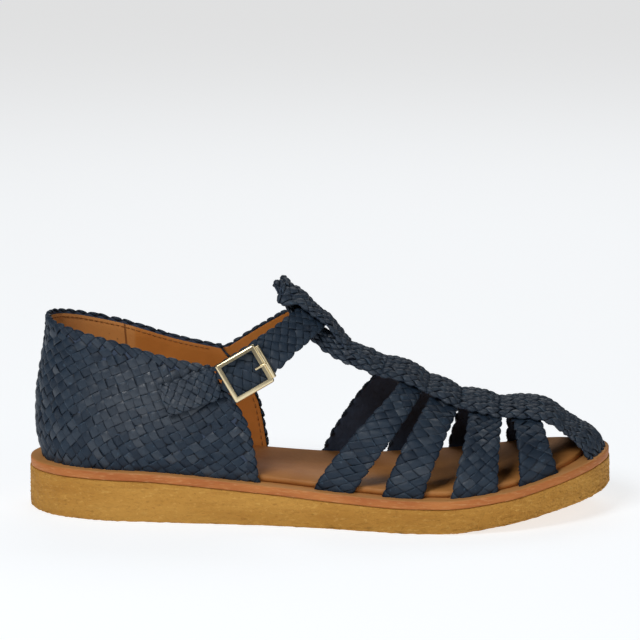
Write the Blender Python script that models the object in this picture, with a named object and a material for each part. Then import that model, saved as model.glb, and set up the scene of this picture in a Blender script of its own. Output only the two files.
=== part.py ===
# Woven leather fisherman sandal, the right shoe of a pair.
# The toe points to +X, the outer side of the foot with the buckle lies at -Y, and the sole stands on z = 0.
# A last is worked out from the named sizes, and every strap of the upper lies on it.

import functools
import math
from collections import namedtuple

import bmesh
import bpy
import numpy
from mathutils import Matrix, Vector
from mathutils.bvhtree import BVHTree

# Sole
LENGTH = 0.268
BALL_WIDTH = 0.097
HEEL_CREPE = 0.0192
TOE_SPRING = 0.0115
MIDSOLE_THICK = 0.0040
INSOLE_THICK = 0.0030
INSOLE_END_PLAY = 0.0032
SIDE_LEDGE = 0.0035
END_LEDGE = 0.0055
CREPE_EDGE_ROUND = 0.0014
CREPE_STEP = 0.0003
MIDSOLE_INSET = 0.0004
MIDSOLE_EDGE_ROUND = 0.0007
INSOLE_EDGE_ROUND = 0.0006

# Upper
WALL = 0.0020
WEAVE_RISE = 0.0005
WEAVE_SCALLOP = 0.0006
INSTEP_HEIGHT = 0.0825
LAST_FULLNESS = 2.25
BACK_HEIGHT = 0.0665
HEEL_BULGE = 0.0032
QUARTER_FRONT = -0.0245
FRONT_SETBACK = 0.0230
PLAIT_WIDTH = 0.0165
PLAIT_LIFT = 0.0013
TOE_CAP = 0.12
TAB_TIP = -0.0195
LOOP_RISE = 0.0064
LOOP_END = 0.0165

# Ankle strap and buckle
ANKLE_WIDTH = 0.0145
BUCKLE_FLARE = 0.0026
CROSSING = -0.0045
BUCKLE_BACK = -0.0400
BUCKLE_HEIGHT = 0.0662
INNER_DROP = 0.0025
TAB_BACK = -0.0670
TAB_GAP = 0.0022
TAB_SLOPE = math.radians(20.0)
INNER_END = -0.0640
FRAME_LONG = 0.0181
FRAME_TALL = 0.0180
FRAME_BAR = 0.0021
FRAME_THICK = 0.0019
FRAME_EDGE = 0.0005
FRAME_TURN = 0.36
FRAME_START = 0.0019
FRAME_DROP = 0.0020
FRAME_TILT = math.radians(-3.3)
ROLLER_BAR = 0.0010
PRONG_ROUND = 0.0008
PRONG_SIDES = 8

# Cells of the weave, and the fits between pieces
QUARTER_CELL = 0.0034
STRAP_CELL = 0.0030
FIT = 0.0003
FACET_PLAY = 0.0003

# Fineness of the curves, and short steps for reading slopes and finding the inside
PLAN_SAMPLES = 400
RUN_SAMPLES = 241
SOLE_STATIONS = 36
PROBE = 0.002
CORE_BACK = 0.020

# Plan of the sole: shares of the length, and of the ball width, which is measured across the ball.
Plan = namedtuple("Plan", "along half shift")
PLAN = [
    Plan(0.00, 0.000, 0.020),
    Plan(0.03, 0.200, 0.016),
    Plan(0.08, 0.290, 0.010),
    Plan(0.17, 0.340, 0.000),
    Plan(0.30, 0.340, -0.022),
    Plan(0.43, 0.352, -0.034),
    Plan(0.56, 0.400, -0.041),
    Plan(0.68, 0.488, -0.006),
    Plan(0.75, 0.500, 0.008),
    Plan(0.83, 0.470, 0.026),
    Plan(0.90, 0.390, 0.046),
    Plan(0.96, 0.262, 0.062),
    Plan(1.00, 0.000, 0.070),
]

# Side of the sole: the lift as a share of the toe spring, the crepe as a share of its height at the heel.
Side = namedtuple("Side", "along lift crepe")
SIDE = [
    Side(0.00, 0.00, 1.00),
    Side(0.20, 0.00, 0.97),
    Side(0.40, 0.00, 0.78),
    Side(0.55, 0.00, 0.63),
    Side(0.66, 0.00, 0.58),
    Side(0.71, 0.00, 0.58),
    Side(0.82, 0.28, 0.57),
    Side(0.90, 0.60, 0.61),
    Side(1.00, 1.00, 0.70),
]

# Side of the crepe above its rounded edge: shares of its height, and how deep the groove is cut.
CrepeSide = namedtuple("CrepeSide", "share cut")
CREPE_SIDE = [
    CrepeSide(0.30, 0.0),
    CrepeSide(0.36, 1.0),
    CrepeSide(0.62, 1.0),
    CrepeSide(0.68, 0.0),
    CrepeSide(1.00, 0.5),
]

# Ridge of the last: shares of the last's own length from its heel, height of the instep, ball width.
Ridge = namedtuple("Ridge", "along height lean")
RIDGE = [
    Ridge(0.395, 1.155, 0.000),
    Ridge(0.426, 1.030, 0.004),
    Ridge(0.450, 0.943, 0.008),
    Ridge(0.482, 0.843, 0.012),
    Ridge(0.530, 0.752, 0.018),
    Ridge(0.577, 0.680, 0.024),
    Ridge(0.639, 0.590, 0.030),
    Ridge(0.738, 0.432, 0.036),
    Ridge(0.830, 0.334, 0.034),
    Ridge(0.900, 0.278, 0.024),
    Ridge(0.945, 0.204, 0.014),
    Ridge(0.978, 0.112, 0.006),
    Ridge(1.000, 0.000, 0.000),
]

# Side straps: places along the last of both feet and the crown, the bow of both runs, the width.
Band = namedtuple("Band", "name outer_foot crown inner_foot outer_bow inner_bow width")
BANDS = [
    Band("band_instep", 0.539, 0.683, 0.532, 2.10, 1.50, 0.0122),
    Band("band_waist", 0.662, 0.735, 0.655, 1.60, 1.30, 0.0128),
    Band("band_ball", 0.788, 0.806, 0.772, 1.90, 1.00, 0.0150),
    Band("band_toe", 0.900, 0.858, 0.876, 0.48, 0.80, 0.0124),
]
FOOT_FLARE = 0.38

# Centre plait from the toe (0) to the tip of its loop (1): half widths and curl as shares of its width.
Plait = namedtuple("Plait", "share outer inner curl lift snap")
PLAIT = [
    Plait(0.00, 1.20, 1.75, 1.60, 0.00, 1.00),
    Plait(0.09, 1.15, 1.30, 1.60, 0.10, 1.00),
    Plait(0.20, 1.16, 0.96, 1.70, 1.00, 1.00),
    Plait(0.32, 1.18, 0.92, 1.70, 1.00, 1.00),
    Plait(0.50, 1.06, 0.84, 1.30, 1.30, 1.00),
    Plait(0.66, 0.90, 0.72, 0.82, 1.30, 0.50),
    Plait(0.80, 0.68, 0.60, 0.68, 0.00, 0.00),
    Plait(0.92, 0.48, 0.46, 0.66, 0.00, 0.00),
    Plait(1.00, 0.26, 0.26, 0.66, 0.00, 0.00),
]

# Outer layer of the loop from the tip down: its rise as a share of the loop's, its half width and curl.
Loop = namedtuple("Loop", "share rise half curl")
LOOP = [
    Loop(0.00, 0.16, 0.22, 1.00),
    Loop(0.10, 0.42, 0.46, 0.62),
    Loop(0.20, 0.84, 0.58, 0.66),
    Loop(0.32, 1.00, 0.50, 1.40),
    Loop(0.66, 1.00, 0.50, 1.40),
    Loop(0.84, 0.62, 0.50, 1.30),
    Loop(1.00, 0.20, 0.50, 1.20),
]

# Top line of the quarter from the heel (0) to its front corner (1), as shares of the back height.
TopLine = namedtuple("TopLine", "share outer inner")
TOP_LINE = [
    TopLine(0.00, 1.000, 1.000),
    TopLine(0.15, 0.985, 0.980),
    TopLine(0.45, 0.915, 0.895),
    TopLine(0.80, 0.800, 0.775),
    TopLine(1.00, 0.765, 0.740),
]

# Wall of the quarter from the sole up: how far it stands out and how far its front edge steps back.
Rise = namedtuple("Rise", "height out setback")
RISE = [
    Rise(0.00, 0.00, 0.00),
    Rise(0.12, 0.72, 0.04),
    Rise(0.26, 1.00, 0.09),
    Rise(0.46, 0.75, 0.18),
    Rise(0.70, -0.05, 0.46),
    Rise(0.88, -0.70, 0.80),
    Rise(1.00, -1.00, 1.00),
]

# Prong from its hole over the front bar: bar widths from the bar's inner edge, climb as a share of the frame.
Bend = namedtuple("Bend", "along climb")
PRONG = [
    Bend(-2.48, 0.00),
    Bend(-1.52, 0.16),
    Bend(-0.76, 0.56),
    Bend(-0.10, 1.06),
    Bend(0.50, 1.06),
    Bend(1.23, 1.03),
]

NAVY = (0.020, 0.030, 0.050, 1.0)
HONEY = (0.420, 0.230, 0.065, 1.0)
TERRACOTTA = (0.430, 0.150, 0.055, 1.0)
TAN = (0.330, 0.130, 0.040, 1.0)
GOLD = (0.830, 0.600, 0.280, 1.0)


def clear_scene():
    for thing in list(bpy.data.objects):
        bpy.data.objects.remove(thing, do_unlink=True)


def smooth(rows, column, at):
    """Read one column of a table at any place by a curve that keeps between its rows."""
    known = numpy.array([row[0] for row in rows])
    value = numpy.array([getattr(row, column) for row in rows])
    step = numpy.diff(known)
    slope = numpy.diff(value) / step
    tangent = numpy.zeros(len(known))
    for k in range(1, len(known) - 1):
        before, after = slope[k - 1], slope[k]
        if before * after > 0:
            near = 2 * step[k] + step[k - 1]
            far = step[k] + 2 * step[k - 1]
            tangent[k] = (near + far) / (near / before + far / after)
    tangent[0] = slope[0]
    tangent[-1] = slope[-1]
    at = numpy.clip(numpy.asarray(at, dtype=float), known[0], known[-1])
    cell = numpy.clip(numpy.searchsorted(known, at) - 1, 0, len(step) - 1)
    part = (at - known[cell]) / step[cell]
    rest = 1 - part
    return (
        value[cell] * (1 + 2 * part) * rest**2
        + tangent[cell] * step[cell] * part * rest**2
        + value[cell + 1] * part**2 * (3 - 2 * part)
        - tangent[cell + 1] * step[cell] * part**2 * rest
    )


def rounded(rows, column, at):
    """Read a column that closes to nothing at an end in a round nose."""
    squares = [row._replace(**{column: getattr(row, column) ** 2}) for row in rows]
    return numpy.sqrt(numpy.maximum(smooth(squares, column, at), 0.0))


def resample(points, count):
    """Space a run of points evenly along its own length."""
    points = numpy.asarray(points)
    travel = numpy.concatenate([[0.0], numpy.cumsum(numpy.linalg.norm(numpy.diff(points, axis=0), axis=1))])
    wanted = numpy.linspace(0.0, travel[-1], count + 1)
    return numpy.stack([numpy.interp(wanted, travel, points[:, k]) for k in range(points.shape[1])], axis=1)


def run_length(points):
    return float(numpy.linalg.norm(numpy.diff(points, axis=0), axis=1).sum())


def unit(vectors):
    return vectors / numpy.maximum(numpy.linalg.norm(vectors, axis=-1, keepdims=True), 1e-12)


def share_of_length(x):
    return numpy.asarray(x) / LENGTH + 0.5


def sole_floor(x):
    return smooth(SIDE, "lift", share_of_length(x)) * TOE_SPRING


def crepe_height(x):
    return smooth(SIDE, "crepe", share_of_length(x)) * HEEL_CREPE


def crepe_top(x):
    return sole_floor(x) + crepe_height(x)


def sole_top(x):
    return crepe_top(x) + FIT + MIDSOLE_THICK


@functools.lru_cache(maxsize=None)
def plan_ring(inset, end_inset):
    """Plan outline moved in from the sole's edge, from the heel along the outer side and back."""
    along = (1 - numpy.cos(numpy.linspace(0.0, math.pi, PLAN_SAMPLES))) / 2
    half = rounded(PLAN, "half", along) * BALL_WIDTH
    shift = smooth(PLAN, "shift", along) * BALL_WIDTH
    x = (along - 0.5) * LENGTH
    outer = numpy.stack([x, shift - half], axis=1)
    inner = numpy.stack([x, shift + half], axis=1)[-2:0:-1]
    ring = numpy.concatenate([outer, inner])
    ring[:, 1] -= (ring[:, 1].min() + ring[:, 1].max()) / 2
    tangent = unit(numpy.roll(ring, -1, axis=0) - numpy.roll(ring, 1, axis=0))
    normal = numpy.stack([tangent[:, 1], -tangent[:, 0]], axis=1)
    depth = inset + (end_inset - inset) * normal[:, :1] ** 2
    moved = ring - normal * depth
    heel = int(numpy.argmin(moved[:, 0]))
    return numpy.roll(moved, -heel, axis=0), numpy.roll(normal, -heel, axis=0)


@functools.lru_cache(maxsize=None)
def plan_sides(inset, end_inset):
    """The outer and inner side of a plan outline, each from heel to toe."""
    ring, _ = plan_ring(inset, end_inset)
    toe = int(numpy.argmax(ring[:, 0]))
    outer = ring[: toe + 1]
    inner = numpy.concatenate([ring[toe:], ring[:1]])[::-1]
    return outer, inner


def last_inset():
    return SIDE_LEDGE + WALL + WEAVE_RISE


def last_end_inset():
    return END_LEDGE + WALL + WEAVE_RISE


def last_ends():
    outer, _ = plan_sides(last_inset(), last_end_inset())
    return outer[0, 0], outer[-1, 0]


def last_x(along):
    heel, toe = last_ends()
    return heel + (toe - heel) * numpy.asarray(along)


def last_along(x):
    heel, toe = last_ends()
    return (numpy.asarray(x) - heel) / (toe - heel)


def ridge_height(x):
    return rounded(RIDGE, "height", last_along(x)) * INSTEP_HEIGHT


def last_edges(x):
    outer, inner = plan_sides(last_inset(), last_end_inset())
    return numpy.interp(x, outer[:, 0], outer[:, 1]), numpy.interp(x, inner[:, 0], inner[:, 1])


def ridge_side(x):
    outer, inner = last_edges(x)
    return (outer + inner) / 2 + smooth(RIDGE, "lean", last_along(x)) * BALL_WIDTH


def last_point(x, turn):
    """A point of the last: turn is -1 at the outer foot, 0 on the ridge, 1 at the inner foot."""
    x = numpy.asarray(x, dtype=float)
    turn = numpy.asarray(turn, dtype=float)
    outer, inner = last_edges(x)
    ridge = ridge_side(x)
    reach = numpy.where(turn < 0, ridge - outer, inner - ridge)
    angle = (1 - numpy.abs(turn)) * math.pi / 2
    y = ridge + numpy.sign(turn) * reach * numpy.cos(angle).clip(0.0) ** (2 / LAST_FULLNESS)
    z = sole_top(x) + FIT + ridge_height(x) * numpy.sin(angle) ** (2 / LAST_FULLNESS)
    return numpy.stack([x + 0 * z, y + 0 * z, z], axis=-1)


def grid_faces(rows, columns, first=0):
    """Index quads of a grid of points."""
    faces = []
    for i in range(rows):
        for j in range(columns):
            corner = first + i * (columns + 1) + j
            faces.append((corner, corner + columns + 1, corner + columns + 2, corner + 1))
    return faces


@functools.lru_cache(maxsize=None)
def last_tree():
    """The last as a fine mesh for finding the nearest place on it."""
    rows, columns = 160, 60
    along = RIDGE[0].along + (1 - RIDGE[0].along) * numpy.sin(numpy.linspace(0.0, math.pi / 2, rows + 1))
    turn = numpy.linspace(-1.0, 1.0, columns + 1)
    points = last_point(last_x(along)[:, None], turn[None, :]).reshape(-1, 3)
    return BVHTree.FromPolygons([Vector(p) for p in points], grid_faces(rows, columns))


def on_last(point):
    found = last_tree().find_nearest(Vector(point))[0]
    return numpy.array(found)


def feather_point(point):
    """The nearest place on the line where the upper meets the sole."""
    ring, _ = plan_ring(last_inset(), last_end_inset())
    nearest = ring[int(numpy.argmin(((ring - point[:2]) ** 2).sum(axis=1)))]
    return numpy.array([nearest[0], nearest[1], sole_top(nearest[0]) + FIT])


def principled(name, colour, roughness, metallic=0.0):
    material = bpy.data.materials.new(name)
    material.use_nodes = True
    shader = material.node_tree.nodes["Principled BSDF"]
    shader.inputs["Base Color"].default_value = colour
    shader.inputs["Roughness"].default_value = roughness
    shader.inputs["Metallic"].default_value = metallic
    material.diffuse_color = colour
    return material


def woven_leather():
    return principled("navy_woven_leather", NAVY, 0.5)


def crepe_rubber():
    return principled("honey_crepe", HONEY, 0.8)


def edge_leather():
    return principled("terracotta_leather", TERRACOTTA, 0.55)


def footbed_leather():
    return principled("tan_leather", TAN, 0.45)


def gold_metal():
    return principled("pale_gold", GOLD, 0.2, 1.0)


def add_object(name, vertices, faces, material):
    """Make one closed body, with its faces turned outwards."""
    mesh = bpy.data.meshes.new(name)
    mesh.from_pydata([tuple(v) for v in vertices], [], faces)
    body = bmesh.new()
    body.from_mesh(mesh)
    bmesh.ops.recalc_face_normals(body, faces=body.faces)
    body.to_mesh(mesh)
    body.free()
    mesh.materials.append(material)
    made = bpy.data.objects.new(name, mesh)
    bpy.context.scene.collection.objects.link(made)
    return made


def soften(made, angle=40.0):
    made.data.shade_smooth()
    made.data.set_sharp_from_angle(angle=math.radians(angle))


def sole_layer(name, levels, material):
    """Stack rings of the plan outline, bottom first; each level has its insets and its height along x."""
    last = SOLE_STATIONS
    share = (1 - numpy.cos(numpy.linspace(0.0, math.pi, last + 1))) / 2
    vertices, rings = [], []
    for inset, end_inset, height in levels:
        outer, inner = plan_sides(inset, end_inset)
        x = outer[0, 0] + (outer[-1, 0] - outer[0, 0]) * share
        y_outer = numpy.interp(x, outer[:, 0], outer[:, 1])
        y_inner = numpy.interp(x, inner[:, 0], inner[:, 1])
        z = height(x)
        first = len(vertices)
        vertices += [(x[i], y_outer[i], z[i]) for i in range(last + 1)]
        vertices += [(x[i], y_inner[i], z[i]) for i in range(last - 1, 0, -1)]
        rings.append(list(range(first, len(vertices))))
    faces = []
    for low, high in zip(rings, rings[1:]):
        for k in range(len(low)):
            after = (k + 1) % len(low)
            faces.append((low[k], low[after], high[after], high[k]))
    for ring in (rings[0], rings[-1]):
        faces += strips_across(ring)
    return add_object(name, vertices, faces, material)


def strips_across(ring):
    """Close a ring by strips from its outer to its inner side."""
    last = SOLE_STATIONS
    total = len(ring)
    faces = [(ring[0], ring[1], ring[total - 1])]
    for i in range(1, last - 1):
        faces.append((ring[i], ring[i + 1], ring[total - i - 1], ring[total - i]))
    faces.append((ring[last - 1], ring[last], ring[last + 1]))
    return faces


def crepe_level(share, inset):
    """A level of the outsole at a share of the crepe's height."""
    return inset, inset, lambda x: sole_floor(x) + crepe_height(x) * share


def make_outsole():
    """Crepe outsole: a rounded lower edge, shallow steps of the crepe's layers, a flat bottom."""
    edge = CREPE_EDGE_ROUND
    turned = edge * (1 - math.sin(math.pi / 4))
    levels = [
        (edge, edge, sole_floor),
        (turned, turned, lambda x: sole_floor(x) + turned),
        (0.0, 0.0, lambda x: sole_floor(x) + edge),
    ]
    levels += [crepe_level(step.share, step.cut * CREPE_STEP) for step in CREPE_SIDE]
    return sole_layer("outsole", levels, crepe_rubber())


def make_midsole():
    """Leather midsole whose rim shows as a ledge all round the upper."""
    edge = MIDSOLE_EDGE_ROUND
    inset = MIDSOLE_INSET
    levels = [
        (inset + edge / 2, inset + edge / 2, lambda x: crepe_top(x) + FIT),
        (inset, inset, lambda x: crepe_top(x) + FIT + edge),
        (inset, inset, lambda x: sole_top(x) - edge),
        (inset + edge, inset + edge, sole_top),
    ]
    return sole_layer("midsole", levels, edge_leather())


def make_insole():
    """Footbed between the feet of the straps."""
    side = last_inset() + FIT + FACET_PLAY
    end = last_end_inset() + FIT + INSOLE_END_PLAY
    edge = INSOLE_EDGE_ROUND
    levels = [
        (side, end, lambda x: sole_top(x) + FIT),
        (side, end, lambda x: sole_top(x) + INSOLE_THICK - edge),
        (side + edge, end + edge, lambda x: sole_top(x) + INSOLE_THICK),
    ]
    return sole_layer("insole", levels, footbed_leather())


def even_count(length, cell):
    return max(2, 2 * round(length / cell / 2))


def panel_normals(points, core):
    """Normals of a grid of points, turned away from the core."""
    normal = unit(numpy.cross(numpy.gradient(points, axis=0), numpy.gradient(points, axis=1)))
    facing = numpy.sum(normal * (points - core), axis=-1, keepdims=True)
    return normal * numpy.where(facing < 0, -1.0, 1.0)


def last_core(points):
    """Places inside the last, under and behind the given ones."""
    x = points[..., 0]
    return numpy.stack([x - CORE_BACK, ridge_side(x), sole_top(x)], axis=-1)


def heel_core(points):
    """Places inside the heel at the height of the given ones."""
    core = points * numpy.array([0.0, 0.0, 1.0])
    core[..., 0] = BUCKLE_BACK
    return core


def woven_panel(name, points, core, feet, material):
    """A wall on a grid of its inner points, woven on the bias: each raised point is one crossing strip.

    feet says which of the first and last rows stand on the sole. Both long edges are scalloped.
    """
    rows, columns = points.shape[0] - 1, points.shape[1] - 1
    normal = panel_normals(points, core)
    for row, stands in ((0, feet[0]), (rows, feet[1])):
        if stands:
            normal[row, :, 2] = 0.0
            normal[row] = unit(normal[row])
    i, j = numpy.indices((rows + 1, columns + 1))
    raised = ((i + j) % 2).astype(float)[..., None]
    outer = points + normal * (WALL + WEAVE_RISE * raised)
    across = unit(numpy.gradient(points, axis=1))
    outer[1:rows:2, 0] -= across[1:rows:2, 0] * WEAVE_SCALLOP
    outer[1:rows:2, columns] += across[1:rows:2, columns] * WEAVE_SCALLOP
    inner = points[::2, ::2].copy()
    for row, coarse_row, stands in ((0, 0, feet[0]), (rows, rows // 2, feet[1])):
        if stands:
            outer[row, :, 2] = sole_top(outer[row, :, 0]) + FIT
            inner[coarse_row, :, 2] = sole_top(inner[coarse_row, :, 0]) + FIT
    vertices = list(outer.reshape(-1, 3)) + list(inner.reshape(-1, 3))
    return add_object(name, vertices, panel_faces(rows, columns), material)


def panel_faces(rows, columns):
    """Outer face of low pyramids, plain inner face of half as many rows, and the rim between."""
    def out(a, b):
        return a * (columns + 1) + b

    base = (rows + 1) * (columns + 1)

    def back(a, b):
        return base + (a // 2) * (columns // 2 + 1) + b // 2

    faces = []
    for a in range(rows):
        for b in range(columns):
            ring = [out(a, b), out(a + 1, b), out(a + 1, b + 1), out(a, b + 1)]
            if (a + b) % 2:
                faces += [(ring[0], ring[1], ring[3]), (ring[1], ring[2], ring[3])]
            else:
                faces += [(ring[0], ring[1], ring[2]), (ring[0], ring[2], ring[3])]
    for a in range(0, rows, 2):
        for b in range(0, columns, 2):
            faces.append((back(a, b), back(a, b + 2), back(a + 2, b + 2), back(a + 2, b)))
    border = [(a, 0) for a in range(rows)]
    border += [(rows, b) for b in range(columns)]
    border += [(a, columns) for a in range(rows, 0, -1)]
    border += [(0, b) for b in range(columns, 0, -1)]
    for k in range(0, len(border), 2):
        start = border[k]
        middle = border[k + 1]
        end = border[(k + 2) % len(border)]
        faces.append((out(*middle), out(*start), back(*start)))
        faces.append((out(*end), out(*middle), back(*end)))
        faces.append((out(*middle), back(*start), back(*end)))
    return faces


def make_band(band, material):
    """One side strap, from its outer foot over the last and under the centre plait to its inner foot."""
    turn = numpy.linspace(-1.0, 1.0, RUN_SAMPLES)
    ease = numpy.abs(turn) ** numpy.where(turn < 0, band.outer_bow, band.inner_bow)
    crown = last_x(band.crown)
    foot = numpy.where(turn < 0, last_x(band.outer_foot), last_x(band.inner_foot))
    x = crown + (foot - crown) * ease
    middle = last_point(x, turn)
    run = resample(numpy.column_stack([middle, turn]), even_count(run_length(middle), STRAP_CELL))
    slope = numpy.gradient(run[:, :3], axis=0)
    lean = unit(slope)[:, 0]
    half = band.width / 2 / numpy.sqrt(1 - lean**2)
    half *= 1 + FOOT_FLARE * numpy.abs(run[:, 3]) ** 3
    columns = even_count(band.width, STRAP_CELL)
    across = numpy.linspace(-1.0, 1.0, columns + 1)
    grid_x = run[:, None, 0] + half[:, None] * across[None, :]
    points = last_point(grid_x, run[:, None, 3])
    return woven_panel(band.name, points, last_core(points), (True, True), material)


def ridge_run(start, end):
    """Points of the last's ridge between two places along x, closer together near the start."""
    turn = numpy.linspace(0.0, math.pi / 2, RUN_SAMPLES)
    x = end + (start - end) * numpy.cos(turn)
    return last_point(x, numpy.zeros(RUN_SAMPLES))


def ridge_normal(run):
    """Normals of a run on the ridge, turned up and forward whichever way it runs."""
    along = unit(numpy.gradient(run, axis=0))
    normal = numpy.stack([-along[:, 2], 0 * along[:, 0], along[:, 0]], axis=1)
    facing = normal[:, :1] + normal[:, 2:]
    return unit(normal) * numpy.where(facing < 0, -1.0, 1.0)


def ribbon_point(centre, normal, aside, curl):
    """A place beside a run that bends down to both sides with the radius curl."""
    angle = aside / curl
    return centre + numpy.array([0.0, math.sin(angle) * curl, 0.0]) - normal * curl * (1 - math.cos(angle))


def make_plait(material):
    """The centre plait, from the toe over the crowns of the straps to the tip of the loop."""
    _, toe = last_ends()
    fine = ridge_run(toe, TAB_TIP)
    run = resample(fine, even_count(run_length(fine), STRAP_CELL))
    normal = ridge_normal(run)
    columns = even_count(PLAIT_WIDTH, STRAP_CELL)
    rows = len(run) - 1
    points = numpy.zeros((rows + 1, columns + 1, 3))
    for i in range(rows + 1):
        share = i / rows
        outer = float(smooth(PLAIT, "outer", share)) * PLAIT_WIDTH
        inner = float(smooth(PLAIT, "inner", share)) * PLAIT_WIDTH
        curl = float(smooth(PLAIT, "curl", share)) * PLAIT_WIDTH
        snap = float(smooth(PLAIT, "snap", share))
        for j in range(columns + 1):
            part = 2 * j / columns - 1
            aside = part * (outer if part < 0 else inner)
            place = ribbon_point(run[i], normal[i], aside, curl)
            points[i, j] = place + (on_last(place) - place) * snap
    toe_rows = round(rows * TOE_CAP)
    for j in range(columns + 1):
        points[0, j] = feather_point(points[0, j])
        for i in range(1, toe_rows):
            points[i, j] = on_last(points[0, j] + (points[toe_rows, j] - points[0, j]) * i / toe_rows)
    lift = smooth(PLAIT, "lift", numpy.linspace(0.0, 1.0, rows + 1)) * PLAIT_LIFT
    points = points + panel_normals(points, last_core(points)) * lift[:, None, None]
    return woven_panel("upper_vamp", points, last_core(points), (True, False), material)


def make_loop(material):
    """The outer layer of the loop, which folds over at the tip and comes down over the ankle strap."""
    fine = ridge_run(TAB_TIP, LOOP_END)
    run = resample(fine, even_count(run_length(fine), STRAP_CELL))
    normal = ridge_normal(run)
    rows = len(run) - 1
    columns = even_count(PLAIT_WIDTH, STRAP_CELL)
    points = numpy.zeros((rows + 1, columns + 1, 3))
    for i in range(rows + 1):
        rise = float(smooth(LOOP, "rise", i / rows)) * LOOP_RISE
        half = float(smooth(LOOP, "half", i / rows)) * PLAIT_WIDTH
        curl = float(smooth(LOOP, "curl", i / rows)) * PLAIT_WIDTH
        centre = run[i] + normal[i] * rise
        for j in range(columns + 1):
            points[i, j] = ribbon_point(centre, normal[i], (2 * j / columns - 1) * half, curl)
    return woven_panel("loop_layer", points, last_core(points), (False, False), material)


def join_solid(target, other):
    """Join a second body to the target, and keep it only as a hidden helper."""
    union = target.modifiers.new("join_" + other.name, "BOOLEAN")
    union.operation = "UNION"
    union.solver = "EXACT"
    union.object = other
    other.hide_render = True
    other.display_type = "WIRE"


def make_vamp():
    """Centre plait, side straps and loop in one solid, joined where they cross."""
    leather = woven_leather()
    vamp = make_plait(leather)
    for band in BANDS:
        join_solid(vamp, make_band(band, leather))
    join_solid(vamp, make_loop(leather))
    return vamp


@functools.lru_cache(maxsize=None)
def heel_run():
    """The line under the quarter with its length from the heel: negative on the outer side."""
    ring, normal = plan_ring(last_inset(), last_end_inset())
    toe = int(numpy.argmax(ring[:, 0]))
    order = list(range(toe, len(ring))) + list(range(0, toe))
    ring, normal = ring[order][::-1], normal[order][::-1]
    travel = numpy.concatenate([[0.0], numpy.cumsum(numpy.linalg.norm(numpy.diff(ring, axis=0), axis=1))])
    heel = int(numpy.argmin(ring[:, 0]))
    return ring, normal, travel - travel[heel]


def front_travel(side):
    """How far the quarter's lower front corner lies from the heel along one side."""
    ring, _, travel = heel_run()
    half = travel < 0 if side < 0 else travel > 0
    nearest = numpy.argmin(numpy.where(half, numpy.abs(ring[:, 0] - QUARTER_FRONT), 1.0))
    return abs(travel[nearest])


def quarter_place(travel, height):
    """A point of the quarter's inner face, by its length from the heel and height over the sole."""
    ring, normal, known = heel_run()
    x = numpy.interp(travel, known, ring[:, 0])
    y = numpy.interp(travel, known, ring[:, 1])
    away_x = numpy.interp(travel, known, normal[:, 0])
    away_y = numpy.interp(travel, known, normal[:, 1])
    out = smooth(RISE, "out", height / BACK_HEIGHT) * HEEL_BULGE * (0.5 + 0.5 * away_x**2)
    z = sole_top(x) + FIT + height
    return numpy.stack([x + away_x * out, y + away_y * out, z], axis=-1)


def make_quarter():
    """Heel quarter: one wall round the heel, with its top line falling to both front corners."""
    front = {side: front_travel(side) for side in (-1, 1)}
    length = front[-1] + front[1] - FRONT_SETBACK
    rows = even_count(length, QUARTER_CELL)
    mean_top = float(smooth(TOP_LINE, "outer", 0.5)) * BACK_HEIGHT
    columns = even_count(mean_top, QUARTER_CELL)
    points = numpy.zeros((rows + 1, columns + 1, 3))
    for j in range(columns + 1):
        level = j / columns
        back = float(smooth(RISE, "setback", level)) * FRONT_SETBACK
        start = -(front[-1] - back)
        end = front[1] - back
        for i in range(rows + 1):
            travel = start + (end - start) * i / rows
            limit = (front[-1] if travel < 0 else front[1]) - FRONT_SETBACK
            side = "outer" if travel < 0 else "inner"
            share = min(abs(travel) / limit, 1.0)
            height = float(smooth(TOP_LINE, side, share)) * BACK_HEIGHT * level
            points[i, j] = quarter_place(travel, height)
    # The rows of this panel run round the heel: the first is its foot, the last its top line.
    points = numpy.swapaxes(points, 0, 1)
    return woven_panel("upper_quarter", points, heel_core(points), (True, False), woven_leather())


def quarter_frame(side, x, z):
    """Place and outward normal of the quarter's inner face at one x and z, also past its front edge."""
    ring, _, known = heel_run()
    half = known < 0 if side < 0 else known > 0
    travel = known[int(numpy.argmin(numpy.where(half, numpy.abs(ring[:, 0] - x), 1.0)))]
    height = z - float(sole_top(x)) - FIT
    place = quarter_place(travel, height)
    forward = quarter_place(travel + PROBE, height) - quarter_place(travel - PROBE, height)
    upward = quarter_place(travel, height + PROBE) - quarter_place(travel, height - PROBE)
    normal = unit(numpy.cross(forward, upward))
    if normal[1] * side < 0:
        normal = -normal
    return place, normal


def overlay_gap():
    """From the quarter's inner face to the inner face of a strap that lies on it."""
    return WALL + WEAVE_RISE + FIT + FACET_PLAY


def strap_height(side, x):
    drop = INNER_DROP if side > 0 else 0.0
    return BUCKLE_HEIGHT - drop + (x - BUCKLE_BACK) * math.tan(TAB_SLOPE)


def strap_side(side, x):
    """Centre of the ankle strap where it lies on the quarter, and its normal."""
    place, normal = quarter_frame(side, x, strap_height(side, x))
    return place + normal * overlay_gap(), normal


def overlay_panel(side, back, front):
    """A strap's end that lies on the quarter, between two places along x."""
    rows = even_count(abs(front - back) / math.cos(TAB_SLOPE), STRAP_CELL)
    columns = even_count(ANKLE_WIDTH, STRAP_CELL)
    points = numpy.zeros((rows + 1, columns + 1, 3))
    for i in range(rows + 1):
        x = back + (front - back) * i / rows
        z = strap_height(side, x)
        for j in range(columns + 1):
            aside = (j / columns - 0.5) * ANKLE_WIDTH
            place, normal = quarter_frame(side, x - aside * math.sin(TAB_SLOPE), z + aside * math.cos(TAB_SLOPE))
            points[i, j] = place + normal * overlay_gap()
    return points


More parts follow.
